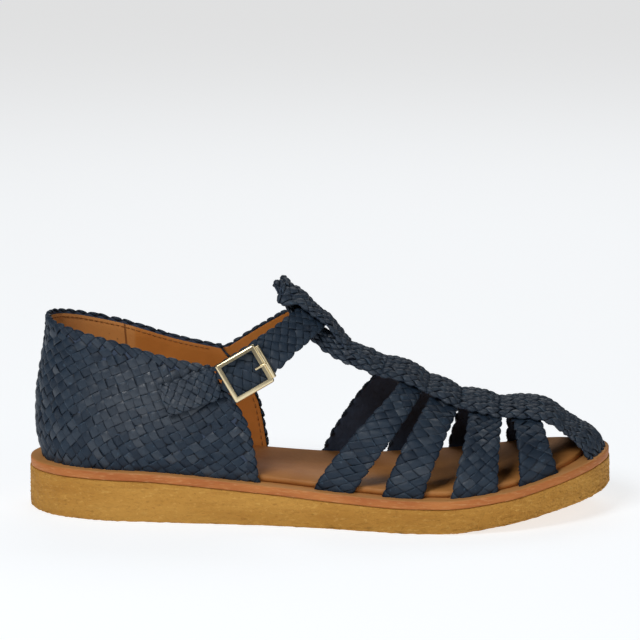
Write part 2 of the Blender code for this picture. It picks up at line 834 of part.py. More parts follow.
def make_buckle_tab():
    """Short woven strap on the outer quarter that holds the buckle."""
    points = overlay_panel(-1, TAB_BACK, BUCKLE_BACK - TAB_GAP)
    return woven_panel("buckle_tab", points, heel_core(points), (False, False), woven_leather())


def crossing_frame():
    """Crown of the ankle strap over the centre plait, and its normal."""
    run = ridge_run(CROSSING + 2 * PROBE, CROSSING - 2 * PROBE)
    normal = ridge_normal(run)
    middle = int(numpy.argmin(numpy.abs(run[:, 0] - CROSSING)))
    clear = WALL + WEAVE_RISE + FIT + 2 * FACET_PLAY
    return run[middle] + normal[middle] * clear, normal[middle]


def ankle_arc(angle):
    """Centre, run and normal of the ankle strap: -90 degrees at the buckle, 0 at the crown, 90 inside."""
    outer, outer_normal = strap_side(-1, BUCKLE_BACK)
    inner, inner_normal = strap_side(1, BUCKLE_BACK)
    crown, crown_normal = crossing_frame()
    middle = (outer + inner) / 2
    forward = crown - middle
    aside = (inner - outer) / 2
    centre = middle + forward * math.cos(angle) + aside * math.sin(angle)
    run = unit(-forward * math.sin(angle) + aside * math.cos(angle))
    turn = math.sin(angle)
    side_normal = inner_normal if turn > 0 else outer_normal
    normal = side_normal * turn**2 + crown_normal * (1 - turn**2)
    normal = normal - run * numpy.dot(normal, run)
    return centre, run, unit(normal)


def make_ankle_strap():
    """Ankle strap from the buckle over the instep to its end on the inner quarter."""
    angles = numpy.linspace(-math.pi / 2, math.pi / 2, RUN_SAMPLES)
    centres = numpy.array([ankle_arc(a)[0] for a in angles])
    length = numpy.linalg.norm(numpy.diff(centres, axis=0), axis=1).sum()
    rows = even_count(length, STRAP_CELL)
    spaced = resample(numpy.column_stack([centres, angles]), rows)[:, 3]
    columns = even_count(ANKLE_WIDTH, STRAP_CELL)
    points = numpy.zeros((rows + 1, columns + 1, 3))
    for i in range(rows + 1):
        centre, run, normal = ankle_arc(spaced[i])
        across = unit(numpy.cross(run, normal))
        across = across if across[2] > 0 else -across
        flare = BUCKLE_FLARE * max(0.0, -math.sin(spaced[i])) ** 6
        for j in range(columns + 1):
            aside = (j / columns - 0.5) * ANKLE_WIDTH - flare * max(0.0, 1 - 2 * j / columns)
            points[i, j] = centre + across * aside
    tail = overlay_panel(1, BUCKLE_BACK, INNER_END)
    points = numpy.concatenate([points, tail[1:]])
    return woven_panel("ankle_strap", points, heel_core(points), (False, False), woven_leather())


def buckle_matrix():
    """Frame of the buckle: X along the strap, Y across it, Z out of it, origin on the strap's surface."""
    start = -math.pi / 2
    back, _, normal = ankle_arc(start)
    front = ankle_arc(start + FRAME_TURN)[0]
    run = unit(front - back)
    normal = unit(normal - run * numpy.dot(normal, run))
    across = numpy.cross(normal, run)
    near = numpy.linspace(start, start + 2 * FRAME_TURN, 15)
    strap = numpy.array([ankle_arc(angle)[0] for angle in near])
    bulge = float(((strap - back) @ normal).max())
    forward = FRAME_START + FRAME_LONG / 2 - FRAME_BAR / 2
    outward = bulge + WALL + WEAVE_RISE + 2 * FIT
    centre = back + run * forward - across * FRAME_DROP + normal * outward
    tilted_run = run * math.cos(FRAME_TILT) + across * math.sin(FRAME_TILT)
    tilted_across = across * math.cos(FRAME_TILT) - run * math.sin(FRAME_TILT)
    matrix = Matrix([list(tilted_run), list(tilted_across), list(normal)]).transposed().to_4x4()
    matrix.translation = Vector(centre)
    return matrix


def make_buckle_frame():
    """Square buckle frame of bevelled bar, with a second thin bar along its front side."""
    long_half, tall_half = FRAME_LONG / 2, FRAME_TALL / 2
    bar = FRAME_BAR
    outline = [(-long_half, -tall_half), (long_half + ROLLER_BAR, -tall_half),
               (long_half + ROLLER_BAR, tall_half), (-long_half, tall_half)]
    opening = [(-long_half + bar, -tall_half + bar), (long_half - bar, -tall_half + bar),
               (long_half - bar, tall_half - bar), (-long_half + bar, tall_half - bar)]
    vertices = []
    for z in (0.0, FRAME_THICK):
        vertices += [(x, y, z) for x, y in outline]
        vertices += [(x, y, z) for x, y in opening]
    outer_low, inner_low, outer_high, inner_high = (numpy.arange(4) + 4 * ring for ring in range(4))
    faces = []
    for low, high in ((outer_low, outer_high), (inner_low, inner_high),
                      (outer_high, inner_high), (outer_low, inner_low)):
        faces += [(low[k], low[(k + 1) % 4], high[(k + 1) % 4], high[k]) for k in range(4)]
    frame = add_object("buckle_frame", vertices, faces, gold_metal())
    frame.matrix_world = buckle_matrix()
    bevel = frame.modifiers.new("edges", "BEVEL")
    bevel.width = FRAME_EDGE
    bevel.segments = 2
    bevel.limit_method = "ANGLE"
    soften(frame)
    return frame


def make_buckle_prong():
    """Prong from the strap's hole over the front bar, shown with the buckle fastened."""
    bar_edge = FRAME_LONG / 2 - FRAME_BAR
    low = PRONG_ROUND + FIT
    climb = FRAME_THICK
    route = [Vector((bar_edge + bend.along * FRAME_BAR, 0.0, low + bend.climb * climb)) for bend in PRONG]
    last = len(route) - 1
    aside = Vector((0.0, 1.0, 0.0))
    vertices = []
    for k, centre in enumerate(route):
        run = (route[min(k + 1, last)] - route[max(k - 1, 0)]).normalized()
        up = Vector((-run.z, 0.0, run.x))
        for m in range(PRONG_SIDES):
            angle = 2 * math.pi * m / PRONG_SIDES
            vertices.append(centre + (up * math.cos(angle) + aside * math.sin(angle)) * PRONG_ROUND)
    faces = []
    for k in range(last):
        low_ring, high_ring = k * PRONG_SIDES, (k + 1) * PRONG_SIDES
        for m in range(PRONG_SIDES):
            after = (m + 1) % PRONG_SIDES
            faces.append((low_ring + m, low_ring + after, high_ring + after, high_ring + m))
    faces.append(tuple(range(PRONG_SIDES)))
    faces.append(tuple(range(last * PRONG_SIDES, (last + 1) * PRONG_SIDES)))
    prong = add_object("buckle_prong", vertices, faces, gold_metal())
    prong.matrix_world = buckle_matrix()
    soften(prong)
    return prong


def main():
    clear_scene()
    soften(make_outsole())
    soften(make_midsole())
    soften(make_insole())
    make_quarter()
    make_vamp()
    make_ankle_strap()
    make_buckle_tab()
    make_buckle_frame()
    make_buckle_prong()


main()
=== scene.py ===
import math

import bmesh
import bpy
import numpy as np
from mathutils import Matrix, Vector
from mathutils.bvhtree import BVHTree


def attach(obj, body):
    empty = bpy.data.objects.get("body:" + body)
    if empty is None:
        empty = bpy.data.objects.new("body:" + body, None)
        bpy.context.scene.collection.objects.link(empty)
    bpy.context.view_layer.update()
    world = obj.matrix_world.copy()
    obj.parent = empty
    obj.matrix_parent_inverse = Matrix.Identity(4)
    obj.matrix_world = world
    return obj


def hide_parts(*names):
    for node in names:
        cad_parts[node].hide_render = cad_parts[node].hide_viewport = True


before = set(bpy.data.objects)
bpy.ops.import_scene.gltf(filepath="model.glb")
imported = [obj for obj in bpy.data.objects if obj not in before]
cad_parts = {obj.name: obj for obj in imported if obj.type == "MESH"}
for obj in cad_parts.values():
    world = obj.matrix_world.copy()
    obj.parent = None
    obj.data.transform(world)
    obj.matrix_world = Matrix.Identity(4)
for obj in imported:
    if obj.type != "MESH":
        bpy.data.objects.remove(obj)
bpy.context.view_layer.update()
print("frame loaded")
rng = np.random.default_rng(7)

# Form of the last and sole, the same as the frame's, in metres and in shares of length and ball width.
form = {
    "length": 0.268, "ball": 0.097, "heelCrepe": 0.0192, "spring": 0.0115, "midsole": 0.0040,
    "insole": 0.0030, "sideLedge": 0.0035, "endLedge": 0.0055, "wall": 0.0020, "rise": 0.0005,
    "instep": 0.0825, "fullness": 2.25, "fit": 0.0003, "play": 0.0003,
}
planRows = [
    (0.00, 0.000, 0.020), (0.03, 0.200, 0.016), (0.08, 0.290, 0.010), (0.17, 0.340, 0.000),
    (0.30, 0.340, -0.022), (0.43, 0.352, -0.034), (0.56, 0.400, -0.041), (0.68, 0.488, -0.006),
    (0.75, 0.500, 0.008), (0.83, 0.470, 0.026), (0.90, 0.390, 0.046), (0.96, 0.262, 0.062),
    (1.00, 0.000, 0.070),
]
sideRows = [
    (0.00, 0.00, 1.00), (0.20, 0.00, 0.97), (0.40, 0.00, 0.78), (0.55, 0.00, 0.63), (0.66, 0.00, 0.58),
    (0.71, 0.00, 0.58), (0.82, 0.28, 0.57), (0.90, 0.60, 0.61), (1.00, 1.00, 0.70),
]
ridgeRows = [
    (0.395, 1.155, 0.000), (0.426, 1.030, 0.004), (0.450, 0.943, 0.008), (0.482, 0.843, 0.012),
    (0.530, 0.752, 0.018), (0.577, 0.680, 0.024), (0.639, 0.590, 0.030), (0.738, 0.432, 0.036),
    (0.830, 0.334, 0.034), (0.900, 0.278, 0.024), (0.945, 0.204, 0.014), (0.978, 0.112, 0.006),
    (1.000, 0.000, 0.000),
]


def curve(rows, column, at, square=False):
    known = np.array([row[0] for row in rows])
    value = np.array([row[column] for row in rows])
    if square:
        value = value ** 2
    step = np.diff(known)
    slope = np.diff(value) / step
    tangent = np.zeros(len(known))
    for k in range(1, len(known) - 1):
        before, after = slope[k - 1], slope[k]
        if before * after > 0:
            near = 2 * step[k] + step[k - 1]
            far = step[k] + 2 * step[k - 1]
            tangent[k] = (near + far) / (near / before + far / after)
    tangent[0], tangent[-1] = slope[0], slope[-1]
    at = np.clip(np.asarray(at, dtype=float), known[0], known[-1])
    cell = np.clip(np.searchsorted(known, at) - 1, 0, len(step) - 1)
    part = (at - known[cell]) / step[cell]
    rest = 1 - part
    found = (value[cell] * (1 + 2 * part) * rest**2 + tangent[cell] * step[cell] * part * rest**2
             + value[cell + 1] * part**2 * (3 - 2 * part) - tangent[cell + 1] * step[cell] * part**2 * rest)
    return np.sqrt(np.maximum(found, 0.0)) if square else found


def unit(vectors):
    return vectors / np.maximum(np.linalg.norm(vectors, axis=-1, keepdims=True), 1e-12)


def lengthOf(points):
    return np.linalg.norm(np.diff(points, axis=0), axis=1).sum()


def resample(points, count):
    points = np.asarray(points)
    travel = np.concatenate([[0.0], np.cumsum(np.linalg.norm(np.diff(points[:, :3], axis=0), axis=1))])
    wanted = np.linspace(0.0, travel[-1], count + 1)
    return np.stack([np.interp(wanted, travel, points[:, k]) for k in range(points.shape[1])], axis=1)


def soleFloor(x):
    return curve(sideRows, 1, np.asarray(x) / form["length"] + 0.5) * form["spring"]


def crepeHeight(x):
    return curve(sideRows, 2, np.asarray(x) / form["length"] + 0.5) * form["heelCrepe"]


def crepeTop(x):
    return soleFloor(x) + crepeHeight(x)


def soleTop(x):
    return crepeTop(x) + form["fit"] + form["midsole"]


def planRing(inset, endInset):
    along = (1 - np.cos(np.linspace(0.0, math.pi, 400))) / 2
    half = curve(planRows, 1, along, True) * form["ball"]
    shift = curve(planRows, 2, along) * form["ball"]
    x = (along - 0.5) * form["length"]
    ring = np.concatenate([np.stack([x, shift - half], axis=1), np.stack([x, shift + half], axis=1)[-2:0:-1]])
    ring[:, 1] -= (ring[:, 1].min() + ring[:, 1].max()) / 2
    tangent = unit(np.roll(ring, -1, axis=0) - np.roll(ring, 1, axis=0))
    normal = np.stack([tangent[:, 1], -tangent[:, 0]], axis=1)
    moved = ring - normal * (inset + (endInset - inset) * normal[:, :1] ** 2)
    heel = int(np.argmin(moved[:, 0]))
    return np.roll(moved, -heel, axis=0), np.roll(normal, -heel, axis=0)


def planSides(inset, endInset):
    ring, _ = planRing(inset, endInset)
    toe = int(np.argmax(ring[:, 0]))
    return ring[: toe + 1], np.concatenate([ring[toe:], ring[:1]])[::-1]


lastInset = form["sideLedge"] + form["wall"] + form["rise"]
lastEndInset = form["endLedge"] + form["wall"] + form["rise"]
lastRing, lastRingNormal = planRing(lastInset, lastEndInset)
lastOuter, lastInner = planSides(lastInset, lastEndInset)
lastHeel, lastToe = lastOuter[0, 0], lastOuter[-1, 0]


def lastX(along):
    return lastHeel + (lastToe - lastHeel) * np.asarray(along)


def lastAlong(x):
    return (np.asarray(x) - lastHeel) / (lastToe - lastHeel)


def lastSides(x):
    return [np.interp(x, side[:, 0], side[:, 1]) for side in (lastOuter, lastInner)]


def ridgeSide(x):
    outer, inner = lastSides(x)
    return (outer + inner) / 2 + curve(ridgeRows, 2, lastAlong(x)) * form["ball"]


def lastPoint(x, turn):
    x = np.asarray(x, dtype=float)
    turn = np.asarray(turn, dtype=float)
    outer, inner = lastSides(x)
    ridge = ridgeSide(x)
    reach = np.where(turn < 0, ridge - outer, inner - ridge)
    angle = (1 - np.abs(turn)) * math.pi / 2
    height = curve(ridgeRows, 1, lastAlong(x), True) * form["instep"]
    power = 2 / form["fullness"]
    y = ridge + np.sign(turn) * reach * np.cos(angle).clip(0.0) ** power
    z = soleTop(x) + form["fit"] + height * np.sin(angle).clip(0.0) ** power
    return np.stack([x + 0 * z, y + 0 * z, z], axis=-1)


def gridFaces(rows, columns, first=0, wrap=False):
    a = np.arange(rows)[:, None]
    b = np.arange(columns)[None, :]
    wide = columns if wrap else columns + 1
    after = (b + 1) % wide
    corners = [a * wide + b, (a + 1) * wide + b, (a + 1) * wide + after, a * wide + after]
    return first + np.stack([c + 0 * a + 0 * b for c in corners], axis=-1).reshape(-1, 4)


def makeLastTree():
    rows, columns = 160, 60
    along = 0.395 + 0.605 * np.sin(np.linspace(0.0, math.pi / 2, rows + 1))
    points = lastPoint(lastX(along)[:, None], np.linspace(-1.0, 1.0, columns + 1)[None, :]).reshape(-1, 3)
    return BVHTree.FromPolygons([Vector(p) for p in points], gridFaces(rows, columns).tolist())


lastTree = makeLastTree()


def onLast(point):
    return np.array(lastTree.find_nearest(Vector(point))[0])


def ridgeRun(start, end, samples=400):
    turn = np.linspace(0.0, math.pi / 2, samples)
    return lastPoint(end + (start - end) * np.cos(turn), np.zeros(samples))


def ridgeNormal(run):
    along = unit(np.gradient(run, axis=0))
    normal = unit(np.stack([-along[:, 2], 0 * along[:, 0], along[:, 0]], axis=1))
    return normal * np.sign(normal[:, 2:3] + normal[:, :1] * 1e-3 + 1e-9)


# A woven sheet: a fine grid of points on the inner face of a strap, read at any place.
class Sheet:
    def __init__(self, points, core, feet=(False, False), rolls=(False, False, True, True)):
        self.points = points
        normal = unit(np.cross(np.gradient(points, axis=0), np.gradient(points, axis=1)))
        facing = np.sum(normal * (points - core), axis=-1, keepdims=True)
        self.normal = normal * np.where(facing < 0, -1.0, 1.0)
        for row, stands in ((0, feet[0]), (-1, feet[1])):
            if stands:
                self.normal[row, :, 2] *= 0.3
                self.normal[row] = unit(self.normal[row])
        self.across = unit(np.gradient(points, axis=1))
        self.along = unit(np.gradient(points, axis=0))
        self.rim = 0.00115
        self.inset = 0.00105
        self.wall = form["wall"]
        self.length = lengthOf(points[:, points.shape[1] // 2])
        self.widths = np.array([lengthOf(row) for row in points])
        self.rolls = rolls

    def width(self, u):
        return np.interp(u, np.linspace(0.0, 1.0, len(self.widths)), self.widths)

    def read(self, grid, u, v):
        rows, columns = grid.shape[0] - 1, grid.shape[1] - 1
        i = np.clip(np.floor(u * rows).astype(int), 0, rows - 1)
        j = np.clip(np.floor(v * columns).astype(int), 0, columns - 1)
        a = (u * rows - i)[..., None]
        b = (v * columns - j)[..., None]
        return (grid[i, j] * (1 - a) * (1 - b) + grid[i + 1, j] * a * (1 - b)
                + grid[i, j + 1] * (1 - a) * b + grid[i + 1, j + 1] * a * b)

    def limits(self, u):
        endU = self.inset / self.length
        endV = self.inset / self.width(np.clip(u, 0.0, 1.0))
        far = 9.0
        return (endU if self.rolls[0] else -far, 1 - endU if self.rolls[1] else far,
                endV if self.rolls[2] else -far, 1 - endV if self.rolls[3] else far)

    def flat(self, u, v, height):
        return self.read(self.points, u, v) + unit(self.read(self.normal, u, v)) * height

    # Place at shares u along and v across, at a height over the inner face. It rolls round the free edges.
    def place(self, u, v, height):
        lowU, highU, lowV, highV = self.limits(u)
        insideU = np.clip(u, lowU, highU)
        insideV = np.clip(v, lowV, highV)
        base = self.read(self.points, insideU, insideV)
        normal = unit(self.read(self.normal, insideU, insideV))
        overU = ((u - insideU) * self.length)[..., None]
        overV = ((v - insideV) * self.width(np.clip(u, 0.0, 1.0)))[..., None]
        aside = (self.read(self.along, insideU, insideV) * overU
                 + self.read(self.across, insideU, insideV) * overV)
        aside = unit(aside - normal * np.sum(aside * normal, axis=-1, keepdims=True))
        angle = np.clip(np.hypot(overU, overV) / self.rim, 0.0, math.pi)
        centre = base + normal * (self.wall - self.rim)
        turned = normal * np.cos(angle) + aside * np.sin(angle)
        return centre + turned * (self.rim + height - self.wall)[..., None]


def addMesh(name, vertices, faces):
    mesh = bpy.data.meshes.new(name)
    mesh.from_pydata(np.asarray(vertices).tolist(), [], [tuple(int(k) for k in f) for f in faces])
    mesh.validate()
    mesh.shade_smooth()
    made = bpy.data.objects.new(name, mesh)
    bpy.context.scene.collection.objects.link(made)
    return made


def addFloats(made, name, values):
    added = made.data.attributes.new(name, "FLOAT", "POINT")
    added.data.foreach_set("value", np.asarray(values, dtype=np.float32))


def turnOutwards(made):
    body = bmesh.new()
    body.from_mesh(made.data)
    bmesh.ops.recalc_face_normals(body, faces=body.faces)
    body.to_mesh(made.data)
    body.free()


# Strips: height, swell and thickness in metres, the rest in shares of a strip.
weave = {"mid": 0.00180, "swell": 0.00052, "halfLength": 0.74, "halfWidth": 0.47, "thick": 0.0008,
         "crown": 0.34, "turn": 0.05, "shift": 0.035, "tilt": 0.45, "lift": 0.08, "wornSheen": 0.1}
patchAcross = np.array([-1.0, -1.0, -0.90, -0.55, 0.0, 0.55, 0.90, 1.0, 1.0])
patchDrop = np.array([1.0, 0.12, 0.0, 0.0, 0.0, 0.0, 0.0, 0.12, 1.0])
patchAlong = np.array([-1.0, -0.80, -0.60, -0.32, 0.0, 0.32, 0.60, 0.80, 1.0])


# The crossings of a bias weave: every second point of a lattice.
def crossings(rows, columns, firstRow=0, firstColumn=0):
    p, q = np.meshgrid(np.arange(firstRow, rows + 1), np.arange(firstColumn, columns + 1), indexing="ij")
    chosen = (p + q) % 2 == 0
    return p[chosen], q[chosen]


# Lay one strip at each crossing. Each is a small curved patch whose ends dip under its neighbours.
def layStrips(name, sheet, p, q, toShares, look=None):
    look = {**weave, **(look or {})}
    t, s = np.meshgrid(patchAlong, patchAcross, indexing="ij")
    drop = np.meshgrid(patchAlong, patchDrop, indexing="ij")[1]
    many = len(p)
    draw = rng.normal(0.0, 1.0, (7, many, 1, 1))
    tint = rng.random(many)
    lean = np.where(p % 2, 1.0, -1.0)[:, None, None]
    turn = draw[0] * look["turn"]
    far = t * look["halfLength"]
    aside = s * look["halfWidth"] * (1 + draw[1] * 0.03)
    farTurned = far * np.cos(turn) - aside * np.sin(turn)
    asideTurned = far * np.sin(turn) + aside * np.cos(turn)
    u, v = toShares(p[:, None, None] + draw[2] * look["shift"] + farTurned + asideTurned,
                    q[:, None, None] + draw[3] * look["shift"] + lean * (farTurned - asideTurned))
    swell = np.cos(math.pi * np.clip(far, -0.95, 0.95))
    swell = np.sign(swell) * np.abs(swell) ** 0.7 - look["crown"] * np.abs(s) ** 2.8
    swell = swell + (draw[4] * s + draw[5] * t * 0.6) * look["tilt"] + draw[6] * look["lift"]
    height = look["mid"] + look["swell"] * swell - drop * look["thick"]
    points = sheet.place(u, v, height)
    mid = len(patchAlong) // 2
    outwards = unit(sheet.read(sheet.normal, np.clip(u[:, mid, mid], 0, 1), np.clip(v[:, mid, mid], 0, 1)))
    middle = points[:, mid, mid]
    turned = np.cross(points[:, mid + 1, mid] - middle, points[:, mid, mid + 1] - middle)
    facing = np.sum(turned * outwards, axis=-1)
    faces = gridFaces(2 * mid, 2 * mid)[None, :, :] + np.arange(many)[:, None, None] * t.size
    faces[facing < 0] = faces[facing < 0][:, :, ::-1]
    made = addMesh(name, points.reshape(-1, 3), faces.reshape(-1, 4))
    for label, values in (("tint", np.repeat(tint, t.size)), ("s", np.tile(s.ravel(), many)),
                          ("t", np.tile(t.ravel(), many)), ("wornSheen", np.full(many * t.size, look["wornSheen"]))):
        addFloats(made, label, values)
    return made


# The plain wall under the strips, with rounded long edges.
def backing(name, sheet, low, high, inset=None, stop=(0.0, 1.0)):
    rows, columns = sheet.points.shape[0] - 1, 12
    ends = [sheet.inset / sheet.length * rolled for rolled in sheet.rolls[:2]]
    u = np.linspace(stop[0] + ends[0], stop[1] - ends[1], rows + 1)
    inset = sheet.inset if inset is None else inset
    margin = inset / sheet.width(u)
    lowV = margin * sheet.rolls[2]
    highV = 1 - margin * sheet.rolls[3]
    half = (high - low) / 2
    shares = [lowV + (highV - lowV) * k / columns for k in range(columns + 1)]
    ring = [sheet.flat(u, v, high) for v in shares]
    for v, side in ((highV, 1.0), (lowV, -1.0)):
        middle = sheet.flat(u, v, (high + low) / 2)
        up = unit(sheet.read(sheet.normal, u, v))
        out = unit(sheet.read(sheet.across, u, v)) * side
        turns = np.radians((45, 90, 135) if side > 0 else (135, 90, 45))
        ring += [middle + (up * math.cos(turn) + out * math.sin(turn)) * half for turn in turns]
        if side > 0:
            ring += [sheet.flat(u, share, low) for share in shares[::-1]]
    points = np.stack(ring, axis=1)
    around = points.shape[1]
    faces = gridFaces(rows, around, wrap=True).tolist()
    faces.append(tuple(range(around)))
    faces.append(tuple(range(rows * around, (rows + 1) * around)))
    made = addMesh(name, points.reshape(-1, 3), faces)
    turnOutwards(made)
    return made


# Small stitches along a line on a sheet, each a short bead of thread.
thread = {"half": 0.0011, "radius": 0.0003, "step": 0.0030, "depth": -0.0001, "drop": 0.0034}


def stitches(name, sheet, places):
    sides = 6
    height = thread["depth"]
    ring = np.array([(math.cos(a), math.sin(a)) for a in np.linspace(0, 2 * math.pi, sides, endpoint=False)])
    stations = np.array([-1.0, -0.85, -0.4, 0.4, 0.85, 1.0])
    radii = np.array([0.15, 0.65, 1.0, 1.0, 0.65, 0.15])
    places = np.asarray(places)
    base = sheet.flat(places[:-1, 0], places[:-1, 1], height)
    after = sheet.flat(places[1:, 0], places[1:, 1], height)
    run = unit(after - base)
    up = unit(sheet.read(sheet.normal, places[:-1, 0], places[:-1, 1]))
    side = unit(np.cross(run, up))
    middle = (base + after) / 2
    middle, run, side, up = [values[:, None, None, :] for values in (middle, run, side, up)]
    points = (middle + run * (stations * thread["half"])[:, None, None]
              + (side * ring[:, :1] + up * ring[:, 1:]) * (radii * thread["radius"])[:, None, None])
    each = len(stations) * sides
    faces = []
    for first in range(0, len(middle) * each, each):
        faces += gridFaces(len(stations) - 1, sides, first, True).tolist()
        faces += [tuple(range(first, first + sides)), tuple(range(first + each - sides, first + each))]
    made = addMesh(name, points.reshape(-1, 3), faces)
    turnOutwards(made)
    return made


def operator(operation, turned=False):
    def act(self, other):
        return self.maths(operation, *((other, self) if turned else (self, other)))
    return act


# Shader maths as plain expressions.
class Number:
    def __init__(self, tree, socket):
        self.tree = tree
        self.socket = socket

    def maths(self, operation, *values):
        node = self.tree.nodes.new("ShaderNodeMath")
        node.operation = operation
        for place, value in enumerate(values):
            plug(self.tree, node.inputs[place], value)
        return Number(self.tree, node.outputs[0])

    __add__, __radd__ = operator("ADD"), operator("ADD", True)
    __sub__, __rsub__ = operator("SUBTRACT"), operator("SUBTRACT", True)
    __mul__, __rmul__ = operator("MULTIPLY"), operator("MULTIPLY", True)
    __truediv__, __rtruediv__ = operator("DIVIDE"), operator("DIVIDE", True)
    __pow__ = operator("POWER")

    def __abs__(self):
        return self.maths("ABSOLUTE", self)

    def loose(self):
        return self.maths("FRACT", self)

    def between(self, low, high):
        node = self.tree.nodes.new("ShaderNodeMapRange")
        node.interpolation_type = "SMOOTHSTEP"
        for name, value in (("Value", self), ("From Min", low), ("From Max", high)):
            plug(self.tree, node.inputs[name], value)
        return Number(self.tree, node.outputs[0])


def plug(tree, socket, value):
    if isinstance(value, Number):
        tree.links.new(value.socket, socket)
    else:
        socket.default_value = value


class Finish:
    def __init__(self, name):
        self.material = bpy.data.materials.new(name)
        self.material.use_nodes = True
        self.tree = self.material.node_tree
        self.surface = self.tree.nodes["Principled BSDF"]
        self.place = self.node("ShaderNodeTexCoord", {}, {}, "Object")

    def node(self, kind, settings, inputs, output=0):
        made = self.tree.nodes.new(kind)
        for name, value in settings.items():
            setattr(made, name, value)
        for name, value in inputs.items():
            plug(self.tree, made.inputs[name], value)
        return Number(self.tree, made.outputs[output])

    def at(self, stretch):
        if not stretch:
            return self.place
        return self.node("ShaderNodeVectorMath", {"operation": "MULTIPLY"}, {0: self.place, 1: stretch})

    def noise(self, scale, detail=3.0, stretch=None):
        links = {"Vector": self.at(stretch), "Scale": scale, "Detail": detail, "Roughness": 0.55}
        return self.node("ShaderNodeTexNoise", {}, links, "Fac")

    def cells(self, scale, stretch=None):
        return self.node("ShaderNodeTexVoronoi", {}, {"Vector": self.at(stretch), "Scale": scale}, "Distance")

    def read(self, name):
        return self.node("ShaderNodeAttribute", {"attribute_name": name}, {}, "Fac")

    def axis(self, name):
        return self.node("ShaderNodeSeparateXYZ", {}, {0: self.place}, name)

    def mix(self, factor, first, second):
        return self.node("ShaderNodeMix", {"data_type": "RGBA"}, {0: factor, 6: first, 7: second}, 2)

    def bump(self, height, distance, strength=1.0, under=None):
        links = {"Height": height, "Distance": distance, "Strength": strength}
        if under is not None:
            links["Normal"] = under
        return self.node("ShaderNodeBump", {}, links)

    def put(self, **values):
        for name, value in values.items():
            plug(self.tree, self.surface.inputs[name.replace("_", " ")], value)
        return self.material


def wear(made, material, slot, *stands):
    made.data.materials.clear()
    made.data.materials.append(material)
    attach(made, "root")
    if stands:
        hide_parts(*stands)


navy = {
    "dark": (0.0042, 0.0115, 0.0250, 1), "light": (0.0150, 0.0340, 0.0600, 1),
    "scuffAndHighlight": (0.0620, 0.1080, 0.1600, 1), "polishSheen": (0.0520, 0.0640, 0.0820, 1),
    "gapShade": (0.0015, 0.0030, 0.0075, 1),
}


def navyLeather():
    look = Finish("navyLeather")
    tint = look.read("tint")
    across = look.read("s")
    side = abs(across)
    ends = abs(look.read("t"))
    grain = look.cells(2600.0)
    broad = look.noise(150.0, 4.0)
    fine = look.noise(900.0, 5.0)
    wornSheen = look.read("wornSheen")
    # Some tiles at random are lighter in tone. Where the leather is rubbed it gets lower roughness and also a
    # painted sheen, a lighter grey.
    bright = (tint ** 6.0) * 0.7 + wornSheen * (fine * 0.45 + 0.35 + (tint * 5.0).loose() * 0.5)
    # Light lines along the long edges of some strips: partly scuffing, partly a painted highlight where the
    # edges catch the light. The small nicks are scuffs.
    line = across.between(0.82, 0.96) * (tint * 7.0).loose().between(0.30, 0.50) * fine.between(0.34, 0.54)
    nick = look.noise(420.0, 2.0).between(0.66, 0.74)
    colour = look.mix(tint * 0.55 + broad * 0.5, navy["dark"], navy["light"])
    colour = look.mix(bright, colour, navy["polishSheen"])
    colour = look.mix(line * 0.8 + nick * 0.4, colour, navy["scuffAndHighlight"])
    # Painted shade: the sides and the ends of each strip, where it dips under its neighbours, go darker.
    colour = look.mix(side.between(0.92, 1.0) * 0.6 + ends.between(0.62, 0.92), colour, navy["gapShade"])
    rough = 0.58 - bright * 0.24 + (fine - 0.5) * 0.22
    bump = look.bump(grain, 0.00006, 0.5)
    bump = look.bump(fine, 0.00014, 0.7, bump)
    look.put(Specular_IOR_Level=0.30)
    return look.put(Base_Color=colour, Roughness=rough, Normal=bump)


def navyPlain():
    look = Finish("navyPlain")
    fine = look.noise(600.0, 5.0)
    weft = look.cells(230.0)
    # Lighter than the woven navy: painted fill light on the plain backs of the straps, which lie in shade.
    colour = look.mix(fine, (0.0320, 0.0480, 0.0820, 1), (0.0560, 0.0800, 0.1300, 1))
    # Painted shade in the hollows between the cells of the faint weave.
    colour = look.mix(weft.between(0.35, 0.62) * 0.15, colour, navy["gapShade"])
    bump = look.bump(1.0 - weft, 0.0005, 0.5, look.bump(fine, 0.0002, 0.6))
    look.put(Specular_IOR_Level=0.3)
    return look.put(Base_Color=colour, Roughness=0.7, Normal=bump)


def crepe():
    look = Finish("crepe")
    crumb = look.cells(520.0, stretch=(0.70, 0.70, 1.25))
    small = look.cells(1100.0)
    broad = look.noise(34.0, 5.0, stretch=(0.45, 0.45, 1.8))
    streak = look.noise(150.0, 5.0, stretch=(0.25, 0.25, 1.7))
    fleck = look.noise(700.0, 3.0, stretch=(0.55, 0.55, 1.1))
    low = look.axis("Z").between(0.012, 0.0)
    colour = look.mix(broad.between(0.35, 0.68), (0.590, 0.300, 0.060, 1), (0.480, 0.225, 0.037, 1))
    colour = look.mix(streak.between(0.50, 0.66) * 0.35, colour, (0.380, 0.160, 0.024, 1))
    colour = look.mix(fleck.between(0.60, 0.72) * 0.40, colour, (0.260, 0.100, 0.016, 1))
    colour = look.mix(fleck.between(0.42, 0.32) * 0.30, colour, (0.800, 0.480, 0.130, 1))
    colour = look.mix(low * 0.30, colour, (0.380, 0.190, 0.030, 1))
    bump = look.bump(1.0 - crumb, 0.0008, 0.75)
    bump = look.bump(1.0 - small, 0.0004, 0.55, bump)
    bump = look.bump(streak, 0.0007, 0.5, bump)
    look.put(Specular_IOR_Level=0.3)
    return look.put(Base_Color=colour, Roughness=0.82, Normal=bump)


